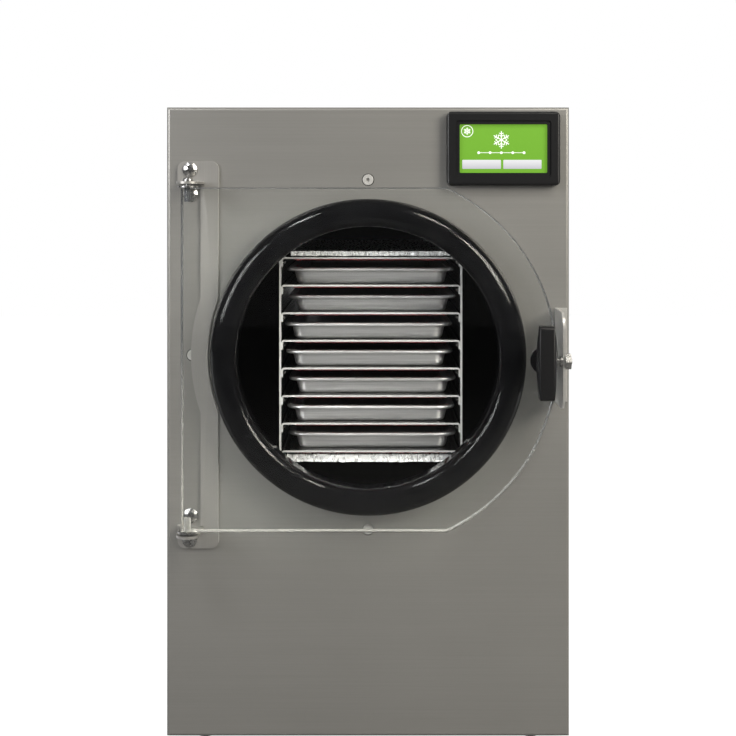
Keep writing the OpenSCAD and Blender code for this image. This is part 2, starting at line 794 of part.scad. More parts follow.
// Foil-wrapped pad under the lowest shelf, inside the drum's curve
module bottom_foil() {
    top = shelf_z(0) - shelf_t - heater_t;
    half = min(sqrt(pow(drum_r - 1, 2) - pow(top - bottom_foil_t, 2)) - abs(rack_x),
        shelf_w / 2 - shelf_t - rivet_out - 0.3);
    color(bright) translate([rack_x, rack_y + 1, chamber_z + top - bottom_foil_t])
        rotate([90, 0, 0]) mirror([0, 0, 1]) linear_extrude(rack_len - 2)
            translate([-half, 0]) rounded(2 * half, bottom_foil_t, [5, 5, 1, 1]);
}

// ---------------------------------------------------------------- hinge

pan_head_r = 9.3;
pan_shank = 2.5;
back_shank = 1.6;
pad_screw_x = -(plate_left - 15.5);
pad_screw_z = ear_z + hinge_t + 15.5;
low_screw_x = -(plate_left - 17);
low_screw_z = ear_z - 13;

// Puts its children at the hinge's four screws on the front sheet, with +Z forwards
module hinge_screw_places() {
    for (side = [-1, 1]) {
        translate([pad_screw_x, front_y, chamber_z + side * pad_screw_z]) rotate([90, 0, 0]) children();
        translate([low_screw_x, front_y, chamber_z + side * low_screw_z]) rotate([90, 0, 0]) children();
    }
}

// Flat outline of the hinge plate: a strip that bows round the gasket, with a pad at each end
module hinge_outline() {
    bulge = gasket_ro + bulge_gap;
    strip_w = strip_out - strip_in;
    difference() {
        translate([-strip_out, -ear_z]) square([strip_w, 2 * ear_z]);
        circle(bulge);
    }
    intersection() {
        difference() {
            circle(bulge + strip_w - 1);
            circle(bulge);
        }
        translate([-2 * strip_out, -90]) square([2 * strip_out - strip_in, 180]);
    }
    for (side = [0, 1]) mirror([0, side]) translate([-plate_left, ear_z])
        rounded(plate_left - strip_in, pad_h, [0, 0, plate_corner, plate_corner]);
}

// One ear bent forwards from the pad's lower edge, with the pin's hole
module hinge_ear() {
    bend = hinge_t + 1.5;
    difference() {
        union() {
            // the bend and the arm, drawn from the side as (y, z)
            translate([pin_x, 0, 0]) along_x(2 * ear_r) {
                difference() {
                    translate([front_y - bend, ear_z]) rounded(bend, bend, [0, bend, 0, 0]);
                    translate([front_y - bend, ear_z + bend]) circle(1.5);
                }
                translate([front_y - pin_d, ear_z]) square([pin_d - bend, hinge_t]);
            }
            translate([pin_x, front_y - pin_d, ear_z]) cylinder(r = ear_r, h = hinge_t);
        }
        translate([pin_x, front_y - pin_d, ear_z - 1]) cylinder(r = pin_r + fit, h = hinge_t + 2);
    }
}

module hinge_plate() {
    bend = hinge_t + 1.5;
    color(brushed) difference() {
        union() {
            front_plate(0, hinge_t) hinge_outline();
            for (side = [0, 1]) translate([0, 0, chamber_z]) mirror([0, 0, side]) hinge_ear();
        }
        // the outer radius of each bend runs on behind the ear
        for (side = [0, 1]) translate([pin_x, 0, chamber_z]) mirror([0, 0, side])
            along_x(2 * ear_r) translate([front_y, ear_z]) difference() {
                translate([-bend, -1]) square(bend + 1);
                translate([-bend, bend]) circle(bend);
                translate([-bend - 1, -2]) square([1.01, bend + 3]);
                translate([-bend - 2, bend]) square(2 * bend + 4);
            }
        hinge_screw_places() cylinder(r = pan_shank + fit, h = 3 * hinge_t, center = true);
    }
}

// Pan-head screws of the hinge plate and the back panel
module pan_screws() {
    color(bright) {
        for (side = [-1, 1]) {
            translate([pad_screw_x, front_y - hinge_t, chamber_z + side * pad_screw_z]) rotate([90, 0, 0])
                pan_screw(pan_head_r, 4.5, pan_shank, hinge_t + 2 * sheet);
            translate([low_screw_x, front_y, chamber_z + side * low_screw_z]) rotate([90, 0, 0])
                pan_screw(pan_head_r, 4.5, pan_shank, 2 * sheet);
        }
        back_screw_places() pan_screw(4, 2.4, back_shank, 3 * sheet);
    }
}

// Screw with a domed head and a cross recess half as deep as the head
module pan_screw(head_r, head_h, shank_r, shank_l) {
    difference() {
        rotate_extrude() screw_profile(head_r, head_h, shank_r, shank_l);
        for (turn = [20, 110]) rotate(turn) translate([0, 0, head_h])
            cube([head_r * 1.1, head_r / 5, head_h], center = true);
    }
}

// Two pins through the ears into the door, with domed heads outside
module hinge_pins() {
    color(bright) translate([pin_x, front_y - pin_d, chamber_z]) for (side = [0, 1])
        mirror([0, 0, side]) rotate_extrude() {
            translate([0, door_half_h - pin_depth])
                rounded(pin_r, pin_depth + ear_gap + hinge_t + 1, [0, pin_r / 2, 0, 0]);
            translate([0, ear_z + hinge_t]) rounded(6.5, 4.5, [0, 0, 3, 0]);
        }
}

module hinge_washers() {
    color(bright) translate([pin_x, front_y - pin_d, chamber_z]) for (side = [0, 1])
        mirror([0, 0, side]) translate([0, 0, door_half_h + 0.3]) difference() {
            cylinder(r = washer_r, h = washer_t);
            translate([0, 0, -1]) cylinder(r = pin_r + fit, h = washer_t + 2);
        }
}

// ---------------------------------------------------------------- door

// Section of a slab with chamfered edges, centred across its width
module chamfered(w, t, c) {
    polygon([[-w / 2, c], [c - w / 2, 0], [w / 2 - c, 0], [w / 2, c],
        [w / 2, t - c], [w / 2 - c, t], [c - w / 2, t], [-w / 2, t - c]]);
}

// Clear slab: a disc cut flat above and below, square towards the hinge
module door_slab() {
    c = door_chamfer;
    far = door_left + door_r + 40;
    intersection() {
        union() {
            rotate_extrude($fn = 240) intersection() {
                chamfered(2 * door_r, door_t, c);
                square([2 * door_r, door_t]);
            }
            translate([-door_left, -door_half_h, 0]) cube([door_left, 2 * door_half_h, door_t]);
        }
        rotate([90, 0, 90]) linear_extrude(4 * door_r, center = true)
            chamfered(2 * door_half_h, door_t, c);
        translate([far / 2 - door_left, 0, 0]) rotate([90, 0, 0])
            linear_extrude(4 * door_r, center = true) chamfered(far, door_t, c);
    }
}

module door_panel() {
    color(clear) difference() {
        translate([0, front_y - door_back, chamber_z]) rotate([90, 0, 0]) door_slab();
        translate([pin_x, front_y - pin_d, chamber_z]) for (side = [0, 1]) mirror([0, 0, side])
            translate([0, 0, door_half_h - pin_depth - 1]) cylinder(r = pin_r + pin_fit, h = pin_depth + 2);
        translate([handle_x, front_y - door_back + 1, chamber_z]) rotate([90, 0, 0])
            cylinder(r = spindle_r + spindle_fit, h = door_t + 2);
    }
}

// ---------------------------------------------------------------- latch

// Outline of the bar: waisted towards its round ends by two large arcs
module bar_outline() {
    sag = (bar_w - bar_end_w) / 2;
    side_r = (pow(bar_l / 2, 2) + sag * sag) / (2 * sag);
    intersection() {
        translate([bar_w / 2 - side_r, 0]) circle(side_r, $fn = 360);
        translate([side_r - bar_w / 2, 0]) circle(side_r, $fn = 360);
        rounded_rect(bar_w, bar_l, 5);
    }
}

// Moulded handle: bar, neck and a cam with one flat that turns behind the latch pin
module door_handle() {
    color(black) translate([handle_x, front_y, chamber_z]) rotate([90, 0, 0]) difference() {
        union() {
            translate([0, 0, bar_back]) crowned(bar_w, bar_l, bar_t, 5) bar_outline();
            translate([0, 0, cam_front - eps]) cylinder(r = handle_neck_r, h = neck_d + 2 * eps);
            translate([0, 0, cam_back]) intersection() {
                cylinder(r = cam_r, h = cam_t);
                translate([-2 * cam_r + cam_flat, -cam_r, 0]) cube([2 * cam_r, 2 * cam_r, cam_t]);
            }
        }
        translate([0, 0, cam_back - 1]) cylinder(r = spindle_r + fit, h = spindle_grip + 1);
    }
}

spindle_grip = 20;
nut_h = 6;

// Spindle through the door, with its washer and nut behind
module handle_spindle() {
    back = door_back - 0.2;
    color(bright) translate([handle_x, front_y, chamber_z]) rotate([90, 0, 0]) {
        translate([0, 0, back - nut_h - 4])
            cylinder(r = spindle_r, h = cam_back + spindle_grip - back + nut_h + 4);
        translate([0, 0, back - 1.6]) difference() {
            cylinder(r = 10, h = 1.6);
            translate([0, 0, -1]) cylinder(r = spindle_r + fit, h = 4);
        }
        translate([0, 0, back - 1.6 - nut_h]) difference() {
            cylinder(r = 9, h = nut_h, $fn = 6);
            translate([0, 0, -1]) cylinder(r = spindle_r + fit, h = nut_h + 2);
        }
    }
}

// Bracket folded from sheet: a tall flange with round front corners and a foot beside it
module latch_bracket() {
    inner = 1.5;
    outer = inner + bracket_t;
    color(bright) difference() {
        intersection() {
            // plan section of the fold
            translate([bracket_x, front_y, chamber_z - bracket_h / 2]) linear_extrude(bracket_h) {
                difference() {
                    translate([0, -outer]) rounded(outer, outer, [0, 0, 0, outer]);
                    translate([outer, -outer]) circle(inner);
                }
                translate([0, -bracket_d]) square([bracket_t, bracket_d - outer]);
                translate([outer, -bracket_t]) square([bracket_foot - outer, bracket_t]);
            }
            // side view with the round front corners
            along_x(2 * body_w) translate([front_y - bracket_d, chamber_z - bracket_h / 2])
                rounded(bracket_d, bracket_h, [bracket_corner, 0, 0, bracket_corner]);
        }
        translate([bracket_x, front_y - latch_pin_d, chamber_z]) rotate([0, 90, 0])
            cylinder(r = latch_pin_r + fit, h = 4 * bracket_t, center = true);
    }
}

// Latch pin with a collar inside the flange and a nut outside
module latch_bolt() {
    tip = handle_x + 8.5;
    nut = 7;
    color(bright) translate([0, front_y - latch_pin_d, chamber_z]) rotate([0, 90, 0]) {
        translate([0, 0, tip]) rotate_extrude()
            rounded(latch_pin_r, bracket_x + bracket_t + nut + 1.5 - tip, [0, 1, 1, 0]);
        translate([0, 0, bracket_x - 3]) difference() {
            cylinder(r = latch_pin_r + 2.5, h = 3);
            translate([0, 0, -1]) cylinder(r = latch_pin_r + fit, h = 5);
        }
        translate([0, 0, bracket_x + bracket_t]) rotate(90) difference() {
            cylinder(r = 10.4, h = nut, $fn = 6);
            translate([0, 0, -1]) cylinder(r = latch_pin_r + fit, h = nut + 2);
        }
    }
}

// ---------------------------------------------------------------- display

display_x = body_w / 2 - display_side - display_w / 2;
display_z = top_z - display_top - display_h / 2;
glass_d = 7;
glass_t = 3;
module_w = screen_w + 6;
module_h = screen_h + 6;

module display_bezel() {
    wall = 5;
    step_w = (display_w - screen_w) / 2 - 7;
    color(black) translate([display_x, front_y, display_z]) rotate([90, 0, 0]) difference() {
        crowned(display_w, display_h, display_d, 3.5) rounded_rect(display_w, display_h, 7);
        // shallow step round the window
        translate([0, 0, display_d - 1.6]) linear_extrude(5)
            rounded_rect(screen_w + step_w, screen_h + step_w, 3);
        translate([0, 0, -1]) linear_extrude(display_d + 2) rounded_rect(screen_w, screen_h, 1.5);
        // pocket that holds the screen from behind
        translate([0, 0, -1]) linear_extrude(glass_d + 1 + fit)
            square([module_w + 2 * fit, module_h + 2 * fit], center = true);
        translate([0, 0, -1]) linear_extrude(glass_d - glass_t)
            rounded_rect(display_w - 2 * wall, display_h - 2 * wall, 4);
    }
}

// Touch screen: glass in the bezel and its module behind, through the front sheet
module display_screen() {
    color([0.45, 0.7, 0.25]) translate([display_x, front_y, display_z]) rotate([90, 0, 0]) {
        translate([0, 0, glass_d - glass_t]) linear_extrude(glass_t)
            square([module_w, module_h], center = true);
        translate([0, 0, -10]) linear_extrude(10 + glass_d - glass_t)
            square([module_w - 8, module_h - 8], center = true);
        translate([0, 0, -18]) linear_extrude(8)
            square([module_w - 30, module_h - 20], center = true);
    }
}

// ---------------------------------------------------------------- cooling plant

mount_h = 14;
shell_z = floor_z + mount_h + 3;
fan_x = 110;
condenser_y = inner_back_y - 6 - condenser_d;
fan_z = floor_z + condenser_h / 2;
suction_top = coil_under(floor(coil_turns / 4), -30);
liquid_top = coil_under(coil_turns - 3, fan_x - condenser_w / 2 - 22);
compressor_x = -125;
compressor_y = suction_top[1] + 40;
shroud_y = condenser_y - 2;
fan_l = 26;
foot_span = 56;

// Hermetic shell in two halves with a weld lip, on a four-legged plate
module compressor() {
    waist = compressor_h * 0.55;
    color(black) translate([compressor_x, compressor_y, shell_z]) {
        rotate_extrude() difference() {
            union() {
                rounded(compressor_r, compressor_h, [0, 22, 40, 0]);
                translate([0, waist - 4]) square([compressor_r + 4, 8]);
            }
            translate([-1, -1]) square([1, compressor_h + 2]);
        }
        translate([0, 0, -3]) linear_extrude(3) difference() {
            rounded_rect(2 * foot_span + 30, 2 * foot_span + 30, 12);
            for (x = [-1, 1], y = [-1, 1]) translate([x * foot_span, y * foot_span]) circle(4);
        }
        // terminal cover on the front side
        translate([-26, -compressor_r - 16, 40]) cube([52, 24, 48]);
    }
}

// Rubber mounts, each clipped to the floor pan and the compressor's plate by a stud
module compressor_mounts() {
    color([0.12, 0.12, 0.12]) for (x = [-1, 1], y = [-1, 1])
        translate([compressor_x + x * foot_span, compressor_y + y * foot_span, floor_z]) {
            cylinder(r = 10, h = mount_h);
            cylinder(r = 3.9, h = mount_h + 6);
            translate([0, 0, mount_h + 3]) cylinder(r = 8, h = 3);
        }
}

// Finned block: tube rows through thin plates between two end plates
module condenser() {
    pitch = 8;
    fins = floor((condenser_w - 8) / pitch);
    rows = 6;
    color([0.7, 0.7, 0.72]) translate([fan_x - condenser_w / 2, condenser_y, floor_z]) {
        for (x = [0, condenser_w - 2]) translate([x, 0, 0]) cube([2, condenser_d, condenser_h]);
        for (i = [1:fins]) translate([i * pitch, 2, 4]) cube([0.8, condenser_d - 4, condenser_h - 8]);
        for (i = [0:rows - 1]) translate([0, condenser_d / 2, (i + 0.5) * condenser_h / rows])
            rotate([0, 90, 0]) cylinder(r = 4, h = condenser_w);
    }
}

// Outline of the shroud's ring
module ring_wall(r) {
    difference() {
        circle(r + 1.5);
        circle(r);
    }
}

// Shroud plate with its ring and the three arms that carry the motor
module fan_shroud() {
    ring = fan_r + 4;
    seat = 26;
    color(brushed) translate([fan_x, shroud_y, fan_z]) rotate([90, 0, 0]) {
        linear_extrude(1.5) difference() {
            square([condenser_w, condenser_h], center = true);
            circle(ring);
        }
        // the ring, with three posts that rise from its edge
        linear_extrude(fan_l) ring_wall(ring);
        linear_extrude(fan_l + 10) intersection() {
            ring_wall(ring);
            for (turn = [90:120:330]) rotate(turn) translate([0, -6]) square([ring + 5, 12]);
        }
        for (turn = [90:120:330]) rotate(turn)
            translate([seat, -6, fan_l + 8]) cube([ring + 0.75 - seat, 12, 2]);
        translate([0, 0, fan_l + 8]) linear_extrude(2) difference() {
            circle(seat + 4);
            circle(12);
        }
    }
    color(brushed) translate([fan_x - condenser_w / 2, shroud_y - 1.5, floor_z]) {
        cube([1.5, 2 + 1.5, condenser_h]);
        translate([condenser_w - 1.5, 0, 0]) cube([1.5, 2 + 1.5, condenser_h]);
    }
}

motor_d = fan_l + 10;

// Motor can whose shaft carries the fan
module fan_motor() {
    color(black) translate([fan_x, shroud_y - motor_d, fan_z]) rotate([90, 0, 0]) {
        rotate_extrude() rounded(36, 44, [0, 3, 6, 0]);
        translate([0, 0, -motor_d + 4]) cylinder(r = 4, h = motor_d - 3);
    }
}

// Fan: a hub with pitched blades, each cut from a tilted plate
module fan_blade() {
    hub_r = 20;
    color([0.3, 0.3, 0.32]) translate([fan_x, shroud_y - 4, fan_z]) rotate([90, 0, 0]) difference() {
        union() {
            rotate_extrude() rounded(hub_r, fan_l - 6, [0, 2, 4, 0]);
            intersection() {
                translate([0, 0, 1]) cylinder(r = fan_r, h = fan_l - 8);
                for (i = [0:blade_count - 1]) rotate(i * 360 / blade_count)
                    translate([0, 0, fan_l / 2 - 3]) rotate([28, 0, 0])
                        translate([hub_r - 4, -18, -0.8]) cube([fan_r, 36, 1.6]);
            }
        }
        translate([0, 0, -1]) cylinder(r = 4 + fit, h = fan_l + 2);
    }
}

// Top of a tube that rises to the coil's underside at a place on the coil's axis
function under_coil(p) = [p[0], p[1],
    p[2] - coil_tube_r / cos(asin(p[0] / coil_r)) - tube_r * abs(tan(asin(p[0] / coil_r))) - 0.2];

// Suction, discharge and liquid lines, the last with its filter drier
module refrigerant_lines() {
    bend = 14;
    over_z = shell_z + compressor_h + 18;
    lower_z = shell_z + 60;
    start_x = compressor_x + compressor_r;
    side_x = fan_x - condenser_w / 2;
    row_z = floor_z + condenser_h / 12;
    mid_y = condenser_y + condenser_d / 2;
    drier_r = 12;
    color(copper) {
        bent_tube([[compressor_x, compressor_y, shell_z + compressor_h],
            [compressor_x, compressor_y, over_z], [suction_top[0], compressor_y, over_z],
            [suction_top[0], suction_top[1], over_z], under_coil(suction_top)], tube_r, bend);
        bent_tube([[start_x, compressor_y, lower_z], [start_x + 18, compressor_y, lower_z],
            [start_x + 18, mid_y, lower_z], [side_x, mid_y, lower_z]], tube_r, bend);
        bent_tube([under_coil(liquid_top), [liquid_top[0], liquid_top[1], row_z],
            [liquid_top[0], mid_y, row_z], [side_x, mid_y, row_z]], tube_r, bend);
        translate([liquid_top[0], liquid_top[1], lower_z + 20]) rotate_extrude()
            rounded(drier_r, 80, [0, 8, 8, 0]);
    }
}

// Control board on stand-offs on the left side panel
module control_board() {
    x = sheet - body_w / 2;
    y = front_y + 190;
    z = top_z - 165;
    color([0.1, 0.35, 0.2]) translate([x, y, z]) {
        translate([8, 0, 0]) cube([1.6, 220, 120]);
        for (dy = [8, 212], dz = [8, 112]) translate([0, dy, dz]) rotate([0, 90, 0])
            cylinder(r = 3, h = 8 + eps);
        translate([9.6 - eps, 20, 20]) cube([22, 60, 70]);
        for (i = [0:4]) translate([9.6 - eps, 100 + i * 22, 76]) cube([16, 18, 28]);
        for (i = [0:2]) translate([9.6 - eps, 108 + i * 34, 34]) rotate([0, 90, 0]) cylinder(r = 9, h = 24);
    }
}

// ---------------------------------------------------------------- rear fittings

port_x = -90;
port_z = 60;
drain_x = 0;
drain_y = head_y - 60;
drain_z = chamber_z - foam_ro - 16;
socket_x = 64 - body_w / 2;
inlet_z = foot_h + 70;
outlet_z = foot_h + 130;
switch_z = foot_h + 185;
socket_w = 28;
socket_h = 24;
switch_w = 14;
switch_h = 22;

// Vacuum port: a tube from the rear head with a clamp flange outside
module vacuum_port() {
    l = back_y + port_out - head_y;
    cone = (20 - port_r) * tan(15);
    color(bright) translate([port_x, head_y, chamber_z + port_z]) rotate([-90, 0, 0])
        rotate_extrude() difference() {
            union() {
                square([port_r, l]);
                polygon([[0, l - 3], [20, l - 3], [20, l], [0, l]]);
                polygon([[0, l - 3 - cone], [port_r, l - 3 - cone], [20, l - 3], [0, l - 3]]);
            }
            translate([-1, -1]) square([port_bore + 1, l + 2]);
        }
}

// Drain pipe from the drum's lowest point to the back
module drain_pipe() {
    color(bright) difference() {
        bent_tube([[0, drain_y, chamber_z - drum_r - 0.5], [0, drain_y, drain_z],
            [0, back_y + 6, drain_z]], drain_r, 16);
        bent_tube([[0, drain_y, chamber_z - drum_r + 1], [0, drain_y, drain_z],
            [0, back_y + 7, drain_z]], drain_r - 1.5, 16);
    }
}

valve_y = back_y + 6;
stem_y = valve_y + 13;
stem_r = 3;
boss_h = 12;

// Small ball valve with a hose barb
module drain_valve() {
    l = back_y + valve_out - valve_y;
    color([0.8, 0.65, 0.3]) difference() {
        union() {
            translate([drain_x, valve_y, drain_z]) rotate([-90, 0, 0]) {
                cylinder(r = 9.5, h = 6, $fn = 6);
                rotate_extrude() union() {
                    rounded(8.5, 26, [0, 1, 3, 0]);
                    polygon([[0, 20], [5, 20], [5, l - 12], [6, l - 12], [4.5, l - 6],
                        [6, l - 6], [4.5, l], [0, l]]);
                }
            }
            translate([drain_x, stem_y, drain_z]) cylinder(r = 6, h = boss_h);
        }
        translate([drain_x, valve_y - 1, drain_z]) rotate([-90, 0, 0]) cylinder(r = 3, h = l + 2);
        translate([drain_x, stem_y, drain_z + 5]) cylinder(r = stem_r + fit, h = boss_h);
    }
}

// Lever across the pipe when shut, on the stem that turns the ball
module drain_lever() {
    color([0.75, 0.1, 0.1]) translate([drain_x, stem_y, drain_z]) {
        translate([0, 0, 6]) cylinder(r = stem_r, h = boss_h - 2);
        translate([0, 0, boss_h + 0.3]) linear_extrude(3) {
            circle(7);
            translate([0, -4.5]) square([34, 9]);
            translate([34, 0]) circle(4.5);
        }
    }
}

// Mains inlet with three blades and the pump's outlet with three slots
module power_sockets() {
    depth = 26;
    color(black) for (z = [inlet_z, outlet_z])
        translate([socket_x, back_y, z]) rotate([-90, 0, 0]) {
            difference() {
                union() {
                    linear_extrude(3) rounded_rect(50, socket_h + 8, 4);
                    translate([0, 0, -depth]) linear_extrude(depth + eps)
                        square([socket_w, socket_h], center = true);
                }
                if (z == inlet_z)
                    translate([0, 0, -18]) linear_extrude(30) rounded_rect(socket_w - 4, socket_h - 4, 3);
                else for (p = [[-7, -3], [0, 4], [7, -3]])
                    translate([p[0], p[1], -16]) linear_extrude(30) square([2.4, 6], center = true);
            }
            if (z == inlet_z) for (p = [[-7, -3], [0, 4], [7, -3]])
                translate([p[0], p[1], -18 - eps]) linear_extrude(15) square([2, 5], center = true);
        }
}

rocker_y = back_y + 1;
rocker_tilt = 9;
axle_r = 1.5;

// Frame of the power switch, with the seats of the rocker's axle
module switch_frame() {
    color(black) translate([socket_x, back_y, switch_z]) rotate([-90, 0, 0]) difference() {
        union() {
            linear_extrude(2) rounded_rect(switch_w + 6, switch_h + 6, 2);
            translate([0, 0, -20]) linear_extrude(20 + eps) square([switch_w, switch_h], center = true);
        }
        translate([0, 0, -12]) linear_extrude(20) square([switch_w - 3, switch_h - 3], center = true);
        translate([0, 0, 1 - 2.5]) rotate([0, 90, 0])
            cylinder(r = axle_r + fit, h = switch_w - 1, center = true);
    }
}

// Rocker: a wedge-faced paddle on its axle
module switch_rocker() {
    w = switch_w - 4;
    h = switch_h - 5;
    color([0.7, 0.1, 0.1]) translate([socket_x, rocker_y - 2.5, switch_z]) rotate([rocker_tilt, 0, 0]) {
        translate([-w / 2, 0, 0]) rotate([90, 0, 90]) linear_extrude(w)
            polygon([[-2.5, -h / 2 + 2], [-2.5, h / 2 - 2], [3.6, h / 2], [2.6, 0], [3.6, -h / 2]]);
        rotate([0, 90, 0]) cylinder(r = axle_r, h = switch_w - 1.4, center = true);
    }
}

front_panel();
left_side_panel();
right_side_panel();
top_panel();
back_panel();
base_pan();
feet();
chamber_drum();
chamber_screws();
door_gasket();
cooling_coil();
chamber_insulation();
chamber_saddle();
rack_left_side();
rack_right_side();
shelf_1();
shelf_2();
shelf_3();
shelf_4();
shelf_5();
shelf_6();
shelf_7();
shelf_8();
heater_mats();
shelf_screws();
tray_1();
tray_2();
tray_3();
tray_4();
tray_5();
tray_6();
tray_7();
top_foil();
bottom_foil();
hinge_plate();
pan_screws();
hinge_pins();
hinge_washers();
latch_bracket();
latch_bolt();
display_bezel();
display_screen();
compressor();
compressor_mounts();
condenser();
fan_shroud();
fan_motor();
refrigerant_lines();
control_board();
vacuum_port();
drain_pipe();
drain_valve();
power_sockets();
switch_frame();
door_panel();
door_handle();
handle_spindle();
fan_blade();
switch_rocker();
drain_lever();
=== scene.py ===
# %% [markdown]
# # A countertop freeze dryer, dressed for its picture
# The machine is a tall steel cabinet with a round vacuum chamber behind a thick clear door.
# Its solids arrive ready made as a frame: every sheet, shelf, tray, screw and joint has its real size.
# This lesson gives each of them a finish, and models by hand what is too fine or too soft for the
# solids.

import math
import bpy
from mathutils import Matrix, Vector


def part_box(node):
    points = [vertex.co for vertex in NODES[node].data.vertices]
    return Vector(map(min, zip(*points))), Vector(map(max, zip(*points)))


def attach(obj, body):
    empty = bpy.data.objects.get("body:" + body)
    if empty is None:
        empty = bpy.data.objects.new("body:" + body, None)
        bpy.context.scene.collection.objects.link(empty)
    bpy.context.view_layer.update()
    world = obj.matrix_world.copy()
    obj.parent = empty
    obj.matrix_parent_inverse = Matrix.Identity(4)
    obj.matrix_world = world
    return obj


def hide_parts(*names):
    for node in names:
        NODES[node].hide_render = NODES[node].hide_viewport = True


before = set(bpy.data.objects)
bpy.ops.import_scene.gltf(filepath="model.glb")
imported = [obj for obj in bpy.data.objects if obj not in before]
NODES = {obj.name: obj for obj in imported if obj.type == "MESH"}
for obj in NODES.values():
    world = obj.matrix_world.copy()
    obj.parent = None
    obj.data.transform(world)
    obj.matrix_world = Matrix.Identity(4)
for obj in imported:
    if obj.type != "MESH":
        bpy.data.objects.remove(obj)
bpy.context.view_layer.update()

# %% [markdown]
# ## Where things are
# Every place comes from the boxes of the solids, so a changed size moves the finishes with it.
# The front sheet's face and the height of the chamber's axis are the references for the rest.

# %% Reference places
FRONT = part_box("front_panel")[0].y
drum_low, drum_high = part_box("chamber_drum")
AXIS_Z = (drum_low.z + drum_high.z) / 2
# the hinge plate's thickness, and how far behind a flat face its cut edge begins
HINGE_PLATE = 0.003
EDGE_SKIN = 0.0001
print(f"front face y={FRONT:.4f}, chamber axis z={AXIS_Z:.4f}")

# %% [markdown]
# ## The camera
# The machine is seen square on, from a little below its top edge, with the lens shifted down so that
# upright edges stay upright. A shift does what a view camera does: it moves the picture, not the eye.

# %% Camera
# metres, then millimetres, then a share of the sensor's width
EYE_DISTANCE = 1.700
EYE_HEIGHT = 0.689
FAR_CLIP = 30
SENSOR = 36
LENS = 65.9
LENS_SHIFT = -0.2283
bpy.ops.object.camera_add(location=(0, FRONT - EYE_DISTANCE, EYE_HEIGHT), rotation=(math.pi / 2, 0, 0))
camera = bpy.context.object
camera.name = "view_camera"
camera.data.sensor_width = SENSOR
camera.data.lens = LENS
camera.data.shift_y = LENS_SHIFT
camera.data.clip_end = FAR_CLIP
bpy.context.scene.camera = camera
bpy.context.scene.view_settings.view_transform = "Standard"
print("lens", camera.data.lens, "shift", camera.data.shift_y)

# %% [markdown]
# ## How a finish is written
# A finish is a small network of nodes. Wiring it by hand takes a line for each node, socket and link.
# A few helpers keep it short: a node is added and fed in one line, and a value on its way to the
# shader is compared with another or mapped to a new range.

# %% Helpers for nodes


def new_finish(name):
    """An empty finish: its material and its one shader."""
    finish = bpy.data.materials.new(name)
    finish.use_nodes = True
    return finish, finish.node_tree.nodes["Principled BSDF"]


def feed(node, values):
    """Feeds a node's inputs: each gets a fixed value, or a link from another node's output."""
    for socket, value in values.items():
        if isinstance(value, bpy.types.NodeSocket):
            node.id_data.links.new(value, node.inputs[socket])
        else:
            node.inputs[socket].default_value = value


def part_of(owner, kind, values=None, **settings):
    """Adds one node to a finish or the world, sets its properties and feeds its inputs."""
    node = owner.node_tree.nodes.new(kind)
    for key, value in settings.items():
        setattr(node, key, value)
    feed(node, values or {})
    return node


# %% Helpers for values


def maths(owner, operation, first, second):
    """The result of one operation on two values."""
    return part_of(owner, "ShaderNodeMath", {0: first, 1: second}, operation=operation).outputs[0]


def axis_of(owner, axis, kind="ShaderNodeTexCoord", place="Object"):
    """One coordinate of the point that is being shaded."""
    here = part_of(owner, kind)
    return part_of(owner, "ShaderNodeSeparateXYZ", {"Vector": here.outputs[place]}).outputs[axis]


def spread(owner, value, low, high, start=0.3, stop=0.7):
    """Maps a value to a range of numbers; start and stop are where noise usually begins and ends."""
    ramp = part_of(owner, "ShaderNodeMapRange", {
        "Value": value, "From Min": start, "From Max": stop, "To Min": low, "To Max": high})
    return ramp.outputs["Result"]


# %% [markdown]
# ## Floor and background
# A pale floor catches the shadow of the feet. The background is white paper: the world shows white to
# the eye, to mirrors and through clear plastic, and gives the room only a moderate soft grey light.

# %% Floor
# the paper lies just under the feet, and is seen lit to FLOOR_LIFT of white
FLOOR_SIZE = 12
FLOOR_DROP = 0.0002
FLOOR_LIFT = 0.94
FLOOR_FADE = 0.3
bpy.ops.mesh.primitive_plane_add(size=FLOOR_SIZE, location=(0, 0, -FLOOR_DROP))
floor = bpy.context.object
floor.name = "studio_floor"

# the eye sees the paper lit to white; mirrors and clear plastic see it so only behind the machine
floor_paper, paper = new_finish("floor_paper")
ray = part_of(floor_paper, "ShaderNodeLightPath").outputs
depth = axis_of(floor_paper, "Y", "ShaderNodeNewGeometry", "Position")
behind = spread(floor_paper, depth, 0, 1, FRONT, FRONT + FLOOR_FADE)
bounce = maths(floor_paper, "MAXIMUM", ray["Is Glossy Ray"], ray["Is Transmission Ray"])
bounce_behind = maths(floor_paper, "MULTIPLY", bounce, behind)
seen = maths(floor_paper, "MAXIMUM", ray["Is Camera Ray"], bounce_behind)
lift = maths(floor_paper, "MULTIPLY", seen, FLOOR_LIFT)
feed(paper, {
    "Base Color": (0.2, 0.2, 0.2, 1), "Roughness": 0.9, "Specular IOR Level": 0.1,
    "Emission Color": (1, 1, 1, 1), "Emission Strength": lift})
floor.data.materials.append(floor_paper)
print("floor:", floor.name, FLOOR_SIZE, "m wide")

# %% World light
# how bright the room is on dull surfaces and in mirrors, and between which values of a direction's
# depth a mirrored room turns to mirrored paper
ROOM_DIFFUSE = 0.34
ROOM_MIRRORED = 0.16
PAPER_STARTS, PAPER_FULL = 0.3, 0.95
world = bpy.data.worlds.new("studio_world")
bpy.context.scene.world = world
world.use_nodes = True
ray = part_of(world, "ShaderNodeLightPath").outputs
# mirrors and clear plastic see the white paper behind the machine, and a dim room behind the eye
mirrored = spread(world, axis_of(world, "Y", place="Generated"), ROOM_MIRRORED, 1.0,
                  PAPER_STARTS, PAPER_FULL)
